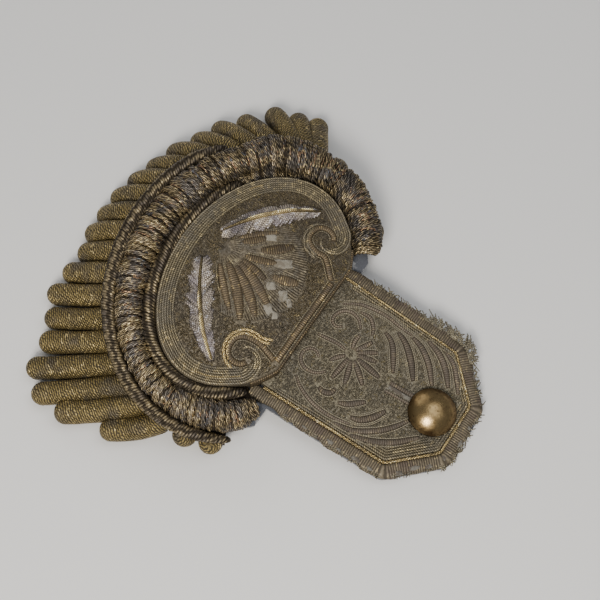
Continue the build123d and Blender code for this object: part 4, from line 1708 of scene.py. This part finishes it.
    def _vein(self, side: Side, curve: Array) -> None:
        """Makes the raised gold vein of a leaf, with its shining places.

        Args:
            side: The side that the leaf is on.
            curve: The leaf's middle line.
        """
        along = arc_lengths(curve)
        share = along / along[-1]
        vein = Stock()
        taper = leaf_shape(share, 0.6, 0.06, 0.88)
        path = self.on_dome(curve, self.leaf_relief + 0.55 * MM)
        lumps = 1 + 0.12 * thread_ridge(along / (1.4 * MM))
        middle = 0.75 if side is Side.LEFT else 0.5
        shine = -0.6 + np.exp(-(((share - middle) / 0.24) ** 2))
        vein.tube(path, 0.78 * MM * taper * lumps, 10, self.plane.up, shine)
        edge = self.on_dome(beside(curve, side.value * 0.45 * MM), self.leaf_relief + 1.1 * MM)
        for first, last in VEIN_GLINTS[side]:
            part = edge[(share > first) & (share < last)]
            slim = np.sin(math.pi * np.linspace(0.08, 0.92, len(part))) ** 0.5
            vein.tube(part, 0.36 * MM * slim, 6, self.plane.up, 2.0)
        vein.piece(f"vein_{side.word}", Finish.BRIGHT, "bright_gold_cord", f"leaf_vein_{side.word}")

    def _ray(self, lean: Array, away: Array) -> Array:
        """Points of the fan, at angles from -Y and distances from its apex."""
        return np.array(self.fan_apex) * MM + degrees_way(-90 + lean) * away[:, None]

    def _fan(self) -> None:
        """Makes the fan of ribbed lobes over threads that spread from the rim."""
        lobes, edges, threads = Stock(), Stock(), Stock()
        for row in FAN:
            away = np.linspace(row.start, row.end, 40) * MM
            lean = np.interp(away, away[[0, -1]], [row.lean_in, row.lean_out])
            flat = evenly(self._ray(lean, away), 0.2 * MM)
            half = row.width / 2 * MM * leaf_shape(np.linspace(0, 1, len(flat)), 0.55)
            self.needle.satin(lobes, flat, half, self.low_relief * 1.25, row.tint)
            self.needle.edged(edges, flat, half, 1, 0.35)
        lobes.piece("fan_lobes", Finish.RIBS, "ribbed_gold", "head_palmette")
        edges.piece("fan_edges", Finish.RIM, "head_embroidery", "head_palmette")
        for number in range(self.fan_rays):
            side = 2 * number / (self.fan_rays - 1) - 1
            start = (3.0 if number % 4 == 0 else 9.0 if number % 2 == 0 else 15.0) * MM
            away = np.linspace(start, self.fan_reach * (1 - 0.24 * side * side), 26)
            lean = side * self.fan_spread * (0.86 + 0.14 * smooth(0, 20 * MM, away))
            flat = self._ray(lean, away)
            self.needle.cord(threads, flat, 0.45 * MM, -0.05 * MM, 0.35, 80 + number, 0.5)
        threads.piece("fan_threads", Finish.LAID, "head_embroidery")

    def _worn_patches(self) -> None:
        """Makes the places where the thread is gone and pale padding shows."""
        stock = Stock()
        rings = [(1.0, 0.2), (0.9, 0.8), (0.55, 1.0), (0.05, 0.85)]
        angle = np.linspace(0, 360, 18, endpoint=False)
        square = 1 / np.maximum(np.abs(degrees_way(angle)).max(1, keepdims=True), 0.72)
        for number, (x, y, long, wide, turned) in enumerate(WORN_PATCHES):
            rng = np.random.default_rng(70 + number)
            middle = np.array([x, y]) * MM
            edge = degrees_way(angle) * square * np.array([long, wide]) / 2.2 * MM
            edge = edge * rng.uniform(0.82, 1.08, (18, 1))
            edge = edge[:, :1] * degrees_way(turned) + edge[:, 1:] * degrees_way(turned + 90)
            stock.patch(self.on_dome, middle, edge, rings)
            self.needle.kept_clear.append((middle[None], min(long, wide) / 2 * MM))
        stock.piece("worn_patches", Finish.WORN, "backing_cloth")


# Strap


class Stroke(NamedTuple):
    """A satin stroke of the strap: its line in mm, half its width, its tint and its edging cords."""

    line: list[tuple[float, float]]
    half: float
    tint: float = 0.3
    rows: int = 2


PALMETTE = [
    Stroke([(4.3, -18), (7.4, -17.2), (10.6, -17.4)], 0.9, 0.5, 1),
    Stroke([(4.2, -19.3), (7.4, -21.2), (10.8, -22.9)], 1, 0.35, 1),
    Stroke([(3.9, -20.4), (6.2, -23.6), (8.6, -27)], 1, 0.3, 1),
    Stroke([(3.2, -21), (4.2, -24.6), (5, -28.4)], 1, 0.2, 1),
    Stroke([(2, -21.4), (1.4, -26.6), (0.5, -32.6)], 1.2, 0.1, 1),
    Stroke([(0.9, -20.9), (-2.2, -25), (-5.6, -28.8)], 1.1, 0.2, 1),
    Stroke([(0.3, -20), (-4.2, -21.6), (-8.9, -23)], 1.1, 0.2, 1),
    Stroke([(0.2, -18.8), (-4.6, -18.4), (-9.8, -17.8)], 1.1, 0.2, 1),
    Stroke([(0.6, -17.4), (-1.8, -15.2), (-4.4, -13.4)], 0.9, 0.5, 1),
]

SCROLLS = [
    Stroke([(9.6, -10.2), (8.2, -8.4), (8.8, -6.2), (11.3, -5.3), (14.4, -6.6), (16.2, -9.8), (15.4, -13.6),
            (12.6, -16.4)], 0.7, 0.65, 1),
    Stroke([(-5.8, -9.4), (-4.3, -7.6), (-4.6, -5), (-7.2, -3.4), (-10.4, -4.4), (-12.2, -7.6),
            (-11.6, -11.6), (-8.8, -14.8)], 0.7, 0.65, 1),
    Stroke([(-15.4, -15.6), (-15.9, -18.2), (-14.7, -20.6), (-12.2, -21.2)], 1.1, 0.1, 1),
    Stroke([(2.4, -16.2), (2.8, -12), (2.2, -7.6), (1.6, -4)], 0.7, 0.5, 1),
]

PLUMES = {
    Side.RIGHT: [
        Stroke([(17.1, -5.4), (21, -11.6), (22.6, -21), (21.9, -28.2), (21.6, -34)], 0.7, 0.6),
        Stroke([(18.2, -12.5), (18.4, -17), (15.6, -20.2), (12.8, -21.4)], 0.8, 0.45, 1),
        Stroke([(16.9, -24.6), (15.4, -28.2), (12, -31.4), (5, -35.7)], 1.1, 0.2),
        Stroke([(19.8, -28.8), (17.2, -34), (12.6, -39), (6.7, -43.6)], 1.3, 0.12),
        Stroke([(21.2, -34.4), (19.4, -39.8), (15.4, -45.2), (9.1, -50.5)], 1.2, 0.25),
        Stroke([(23.4, -40), (21.2, -46.4), (17.2, -51.6), (11.9, -55.9)], 1.2, 0.35, 1),
        Stroke([(23.3, -48), (20.9, -53), (16.2, -57.2), (11.7, -60.4)], 1, 0.35, 1),
    ],
    Side.LEFT: [
        Stroke([(-16.4, -6.2), (-19.4, -10.4), (-21.9, -17.4), (-22.3, -25.3), (-20.8, -33)], 0.7, 0.6, 1),
        Stroke([(-16.4, -24.8), (-15, -28), (-12.6, -30.8), (-10.2, -33.4)], 1.1, 0.3, 1),
        Stroke([(-18.5, -31.6), (-17.2, -35.2), (-13.8, -38.6), (-8.9, -41.4)], 1.3, 0.12),
        Stroke([(-23.6, -27.6), (-22.2, -35), (-17.6, -42.1), (-12.4, -47), (-7, -50.4)], 1.1, 0.2, 1),
        Stroke([(-24.2, -35), (-21.6, -43), (-17, -50.4), (-10.2, -57.2)], 1.2, 0.1, 1),
    ],
}

# The worn places of the binding: share along it, distance from its outer edge, length, width.
WORN_EDGES = [
    (0.655, 0.6, 3.6, 1.6), (0.700, 0.5, 2.6, 1.2), (0.735, 0.9, 4.2, 1.8), (0.775, 0.4, 2.4, 1.1),
    (0.800, 0.9, 3.4, 1.9), (0.620, 1.4, 5, 2.2), (0.590, 0.9, 3, 2), (0.560, 2.6, 2, 2.6),
    (0.520, 0.7, 3.2, 1.4), (0.480, 1, 2, 1.2), (0.860, 0.5, 2.8, 1.2), (0.905, 0.6, 2.2, 1),
    (0.380, 0.7, 2.6, 1.2), (0.250, 0.6, 2, 1),
]

# The section of the binding: share of its width, and share of its height.
BINDING_SECTION = np.array(
    [(0.0, 0.0), (0.0, 0.75), (0.05, 0.97), (0.2, 1.03), (0.36, 1.04), (0.52, 1.02), (0.68, 0.98),
     (0.82, 0.88), (0.94, 0.7), (1.0, 0.4), (0.99, 0.05), (0.9, 0.0)]
)

# The frayed stretches of the binding, in mm along it: start, end, how many ends, the longest end.
FRAYED = [(8, 36, 40, 1.6), (36, 58, 120, 3.7), (60, 112, 60, 1.6), (112, 168, 60, 1.5)]

# The shining stretches of the gold line, as shares along it: start, end.
EDGE_GLINTS = [(0.10, 0.235), (0.245, 0.262), (0.34, 0.40), (0.52, 0.56), (0.80, 0.86)]


@dataclass
class Strap:
    """The strap with its binding, cord, relief and button."""

    plane: BodyPlane
    neck_half: float = 27.0 * MM
    shoulder_half: float = 25.6 * MM
    tip_half: float = 10.7 * MM
    straight: float = 51.2 * MM
    length: float = 66.3 * MM
    base: float = 1.85 * MM
    top: float = 4.65 * MM
    relief: float = 0.75 * MM
    cord_thick: float = 1.3 * MM
    inner_rows: int = 6
    binding_start: float = 5.0 * MM
    binding_width: float = 6.0 * MM
    binding_thick: float = 2.2 * MM
    binding_rib: float = 0.88 * MM
    binding_slant: float = 3.6 * MM
    button_y: float = -55.8 * MM
    button_radius: float = 9.2 * MM
    button_height: float = 5.4 * MM
    button_rim: float = 0.9 * MM
    chip_spacing: float = 0.84 * MM
    needle: Needle | None = None

    def build(self) -> None:
        """Makes the strap's pieces."""
        cover("strap", Finish.STRAP_GROUND)
        self.needle = Needle(self.on_top, self.plane)
        self._binding()
        self._worn_edges()
        self._frays()
        self._edge_cord()
        self._inner_rows()
        self._strokes("palmette", "strap_palmette", PALMETTE + SCROLLS)
        for side in Side:
            self._strokes(f"plumes_{side.word}", f"strap_plumes_{side.word}", PLUMES[side])
        self._buttonhole()
        self._ground()
        self._button()

    def on_top(self, flat: Array, lift: float | Array) -> Array:
        """Where points of the plan lie on the strap."""
        return self.plane.lie(flat, self.top + np.asarray(lift))

    def outline(self, grow: float, start_y: float, step: float) -> Array:
        """The strap's outline, from the seam down its right side, round the tip and up the left.

        Args:
            grow: How far outside the gold line it lies.
            start_y: Where its two ends are.
            step: The longest step between its points.

        Returns:
            Its points in the plan.
        """
        right = np.array(
            [(self.neck_half, start_y), (self.shoulder_half, -self.straight), (self.tip_half, -self.length)]
        )
        soft = evenly(np.vstack([right, right[::-1] * (-1, 1)]), step)
        for _ in range(max(2, int(3.2 * MM / step))):
            soft[1:-1] = (soft[:-2] + 2 * soft[1:-1] + soft[2:]) / 4
        return beside(soft, grow)

    def on_board(self, flat: Array, lift: float | Array) -> Array:
        """Where points of the plan lie on the backing under the strap."""
        return self.plane.lie(flat, self.base + lift)

    def _binding(self) -> None:
        """Makes the ribbed binding, whose outer edge is worn uneven."""
        path = self.outline(0.0, self.binding_start, self.binding_rib / 5)
        out = leftward(path)
        along = arc_lengths(path)
        inner = self.cord_thick / 2 - 0.25 * MM
        wear = 0.5 * slow_noise(along, 2.0 * MM, 31) + 0.7 * slow_noise(along, 5 * MM, 32)
        width = self.binding_width - inner - 0.5 * MM + 0.9 * MM * wear
        share, tall = BINDING_SECTION[:, 0][None], BINDING_SECTION[:, 1][None]
        slant = self.binding_slant * share * np.clip(path[:, 0] / (12 * MM), -1, 1)[:, None]
        phase = (along[:, None] - slant) / self.binding_rib + 0.25 * slow_noise(along, 3 * MM, 34)[:, None]
        high = tall * self.binding_thick - 0.2 * MM * (1 - thread_ridge(phase)) * (tall > 0.3)
        high = high - 0.35 * MM * np.abs(slow_noise(along, 4 * MM, 35))[:, None] * share
        flat = path[:, None] + out[:, None] * (inner + share * width[:, None])[..., None]
        stock = Stock()
        tint = 0.5 + 0.2 * slow_noise(along, 3 * MM, 33)
        around = np.linspace(0, 14 * MM, len(BINDING_SECTION) + 1)
        stock.grid(self.on_board(flat, high), along, around, tint)
        stock.piece("ribbed_binding", Finish.BINDING, "binding_thread", "strap_edge_binding")

    def _worn_edges(self) -> None:
        """Makes the bare places along the binding's outer edge."""
        path = self.outline(0.0, self.binding_start, self.binding_rib / 5)
        out = leftward(path)
        stock = Stock()
        rings = [(1.0, 1.4), (0.94, 2.15), (0.55, 2.4), (0.05, 2.45)]
        angle = np.linspace(0, 360, 14, endpoint=False)
        for number, (place, inset, long, wide) in enumerate(WORN_EDGES):
            rng = np.random.default_rng(600 + number)
            at = int(place * len(path))
            middle = path[at] + out[at] * (self.binding_width - (inset + 0.9) * MM)
            edge = degrees_way(angle) * np.array([long, wide]) / 2 * MM * rng.uniform(0.55, 1.15, (14, 1))
            edge = edge[:, :1] * np.array([out[at][1], -out[at][0]]) + edge[:, 1:] * out[at]
            stock.patch(self.on_board, middle, edge, rings)
        stock.piece("worn_edges", Finish.WORN_EDGE, "binding_thread")

    def _frays(self) -> None:
        """Makes the loose ends of thread along the worn edge."""
        rng = np.random.default_rng(41)
        path = self.outline(self.binding_width - 1.6 * MM, -1.0 * MM, 0.5 * MM)
        out = leftward(path)
        along = arc_lengths(path)
        stock = Stock()
        for first, last, count, longest in FRAYED:
            for place in rng.uniform(first * MM, last * MM, count):
                at = min(int(np.searchsorted(along, place)), len(path) - 2)
                reach = rng.uniform(0.35, 1.0) * longest * MM + 0.8 * MM
                ahead = np.array([out[at][1], -out[at][0]])
                way = out[at] + ahead * rng.normal(-0.2, 0.45)
                curl = rng.normal(0, 0.55)
                share = np.linspace(0, 1, 8)[:, None]
                flat = path[at] + way * share * reach + ahead * curl * share**2 * reach
                drop = rng.uniform(-0.9, 0.4) * MM * share[:, 0]
                lift = self.base + self.binding_thick * 0.75 + drop
                radius = np.linspace(0.32, 0.17, 8) * MM
                stock.tube(self.plane.lie(flat, lift), radius, 4, self.plane.up, rng.uniform(0.1, 1.0))
        stock.piece("binding_frays", Finish.FRAY, "binding_thread")

    def _edge_cord(self) -> None:
        """Makes the bright twisted cord between strap and binding."""
        path = self.plane.lie(self.outline(0.0, 1.0 * MM, 0.4 * MM), self.top - self.cord_thick / 4)
        along = arc_lengths(path)
        stock = Stock()
        cord = TwistedRope(self.cord_thick / 2, 2, 2.6 * MM, 0.6)
        cord.gather(stock, path, self.plane.up, 0.2, 8)
        stock.piece("edge_cord", Finish.BRIGHT, "bright_gold_cord", "strap_gold_cord")
        shining = Stock()
        for first, last in EDGE_GLINTS:
            part = path[(along > first * along[-1]) & (along < last * along[-1])]
            shining.tube(part + self.plane.up * 0.5 * MM, 0.36 * MM, 6, self.plane.up, 1.0)
        shining.piece("edge_glints", Finish.BRIGHT, "bright_gold_cord")

    def _inner_rows(self) -> None:
        """Makes the rows of couched cord inside the gold line, more on the left and the tip."""
        stock = Stock()
        for number in range(self.inner_rows):
            path = self.outline(-(1.08 + 1.0 * number) * MM, -1.0 * MM, 0.4 * MM)
            share = np.linspace(0, 1, len(path))
            first, last = (0.02, 0.985) if number < 2 else (0.40 + 0.02 * number, 0.90 - 0.04 * number)
            part = path[(share > first) & (share < last)]
            self.needle.cord(stock, part, 0.44 * MM, 0.0, 0.5 - 0.05 * number, 90 + number, 0.5)
        stock.piece("strap_rows", Finish.RIM, "strap_embroidery")

    def _strokes(self, name: str, node: str, strokes: list[Stroke]) -> None:
        """Makes a group of satin strokes with the cords that edge them.

        Args:
            name: The group's name.
            node: The CAD node that it stands for.
            strokes: Its strokes.
        """
        satin, edges = Stock(), Stock()
        for stroke in strokes:
            flat = curve_through(np.array(stroke.line) * MM, 0.2 * MM)
            half = stroke.half * MM * leaf_shape(np.linspace(0, 1, len(flat)), 0.45)
            self.needle.satin(satin, flat, half, self.relief * 1.2, stroke.tint)
            self.needle.edged(edges, flat, half, stroke.rows, 0.6)
        satin.piece(f"{name}_relief", Finish.STRAP_SATIN, "strap_embroidery", node)
        edges.piece(f"{name}_edges", Finish.STRAP_RELIEF, "strap_embroidery", node)

    def _buttonhole(self) -> None:
        """Makes the ribbed edge of the buttonhole and the pale padding that shows in its slit."""
        stock, pale = Stock(), Stock()
        for x, half, tint in ((1.9, 0.85, 0.3), (-1.7, 0.6, 0.55)):
            flat = evenly(np.array([(x - 0.7, -36.8), (x, -47.6)]) * MM, 0.2 * MM)
            self.needle.satin(stock, flat, np.full(len(flat), half * MM), 0.8 * MM, tint)
        stock.piece("buttonhole_edges", Finish.STRAP_SATIN, "strap_embroidery")
        flat = evenly(np.array([(-0.3, -37.2), (0.0, -46.8)]) * MM, 0.3 * MM)
        self.needle.satin(pale, flat, np.full(len(flat), 0.75 * MM), 0.35 * MM, 0.6)
        pale.piece("buttonhole_padding", Finish.WORN_EDGE, "backing_cloth")

    def _ground(self) -> None:
        """Fills the rest of the strap with fine cuts of wire."""
        low, high = (-self.neck_half, -self.length), (self.neck_half, 0)
        spots = strewn(low, high, self.chip_spacing, 8)
        widths = (self.neck_half, self.shoulder_half, self.tip_half)
        edge = np.interp(-spots[:, 1], (0, self.straight, self.length), widths)
        inside = (np.abs(spots[:, 0]) < edge - 1.1 * MM) & (spots[:, 1] < -0.4 * MM)
        inside &= spots[:, 1] > -self.length + 1.0 * MM
        away = np.hypot(spots[:, 0], spots[:, 1] - self.button_y)
        spots = spots[inside & (away > 0.8 * self.button_radius)]
        self.needle.purl(
            "strap_purl", Finish.STRAP_PURL, "strap_embroidery", spots, 1.15 * MM, 0.25 * MM, 15
        )

    def _button(self) -> None:
        """Makes the domed button with its rolled rim, on its shank."""
        base = self.top + self.relief + 0.5 * MM
        cap = self.button_height - self.button_rim
        bow = (self.button_radius**2 + cap**2) / (2 * cap)
        angle = np.linspace(0, math.asin((self.button_radius - 0.5 * MM) / bow), 18)
        dome = np.column_stack([bow * np.sin(angle), base + self.button_height - bow + bow * np.cos(angle)])
        dome[0, 0] = 0.02 * MM
        turn = degrees_way(np.array([60, 20, -20, -60, -90]))
        middle = np.array([self.button_radius - 0.45 * MM, base + self.button_rim - 0.05 * MM])
        bead = middle + turn * np.array([0.45, 0.5]) * MM
        shank = np.array([(1.6 * MM, base + 0.2 * MM), (1.6 * MM, self.base), (0.02 * MM, self.base)])
        profile = np.vstack([dome, bead, shank])
        ring = degrees_way(np.linspace(0, 360, 64, endpoint=False))
        flat = np.array([0, self.button_y]) + profile[:, :1, None] * ring[None]
        points = self.plane.lie(flat, profile[:, 1:2])
        along = arc_lengths(profile)
        tint = smooth(0.55 * self.button_radius, self.button_radius, profile[:, 0])
        stock = Stock()
        stock.grid(points, along, np.linspace(0, TURN * self.button_radius, 65), tint)
        stock.piece("button_cap", Finish.BRASS, "button_brass", "button")


# Stage


class Lamp(NamedTuple):
    """A square soft light: its direction in degrees, distance, side, power in watts and colour."""

    name: str
    azimuth: float
    elevation: float
    away: float
    size: float
    power: float
    colour: Colour


LAMPS = [
    Lamp("key_light", -70.0, 48.0, 0.75, 0.22, 5.2, (1.0, 0.96, 0.9)),
    Lamp("top_light", 40.0, 72.0, 1.2, 0.9, 5.0, (0.95, 0.97, 1.0)),
    Lamp("low_light", 150.0, 30.0, 1.1, 0.7, 2.4, (1.0, 0.98, 0.95)),
]


@dataclass(frozen=True)
class Studio:
    """The floor, the soft lights and the camera at the photograph's angle."""

    target: Vector = Vector((0.010387, -0.00189, 0.0))
    azimuth: float = -56.716
    elevation: float = 65.006
    distance: float = 0.49171
    lens: float = 75.0
    sensor: float = 36.0
    near: float = 0.01
    floor_size: float = 4.0
    sky: tuple[float, float, float, float] = (0.85, 0.88, 0.92, 1.0)
    sky_strength: float = 0.22

    def build(self) -> None:
        """Makes the floor, the lights, the surroundings and the camera."""
        self._floor()
        for lamp in LAMPS:
            self._light(lamp)
        world = bpy.data.worlds.new("studio")
        world.use_nodes = True
        sky = world.node_tree.nodes["Background"].inputs
        sky["Color"].default_value = self.sky
        sky["Strength"].default_value = self.sky_strength
        bpy.context.scene.world = world
        self._camera()

    def _floor(self) -> None:
        """Makes the pale floor."""
        half = self.floor_size / 2
        mesh = bpy.data.meshes.new("floor")
        corners = [(-half, -half, 0), (half, -half, 0), (half, half, 0), (-half, half, 0)]
        mesh.from_pydata(corners, [], [(0, 1, 2, 3)])
        mesh.materials.append(Finish.FLOOR.material)
        placed("floor", mesh)

    def _aimed(self, thing: Object, azimuth: float, elevation: float, away: float) -> None:
        """Puts a light or a camera where it faces the target.

        Args:
            thing: The light or the camera.
            azimuth: Its direction from the target, in degrees.
            elevation: Its height over the floor, in degrees.
            away: Its distance.
        """
        turned, raised = math.radians(azimuth), math.radians(elevation)
        level = math.cos(raised)
        way = Vector((math.sin(turned) * level, -math.cos(turned) * level, math.sin(raised)))
        thing.location = self.target + way * away
        thing.rotation_euler = way.to_track_quat("Z", "Y").to_euler()

    def _light(self, lamp: Lamp) -> None:
        """Makes a light.

        Args:
            lamp: Its place, size, power and colour.
        """
        light = bpy.data.lights.new(lamp.name, "AREA")
        light.size = lamp.size
        light.energy = lamp.power
        light.color = lamp.colour
        self._aimed(placed(lamp.name, light), lamp.azimuth, lamp.elevation, lamp.away)

    def _camera(self) -> None:
        """Makes the camera."""
        data = bpy.data.cameras.new("camera")
        data.lens = self.lens
        data.sensor_width = self.sensor
        data.clip_start = self.near
        camera = placed("camera", data)
        self._aimed(camera, self.azimuth, self.elevation, self.distance)
        bpy.context.scene.camera = camera


def main() -> None:
    """Builds the epaulette's classes in order."""
    logging.basicConfig(level=logging.INFO, format="%(message)s")
    head, oval = Head(), Oval()
    plane = BodyPlane.from_record(frame["record"], "strap_underside", STRAP_MIDDLE)
    cover("backing", Finish.CLOTH)
    Crescent(plane, head, oval).build()
    Fringe(plane, oval).build()
    HeadEmbroidery(plane, head).build()
    Strap(plane).build()
    Studio().build()


if __name__ == "__main__":
    main()
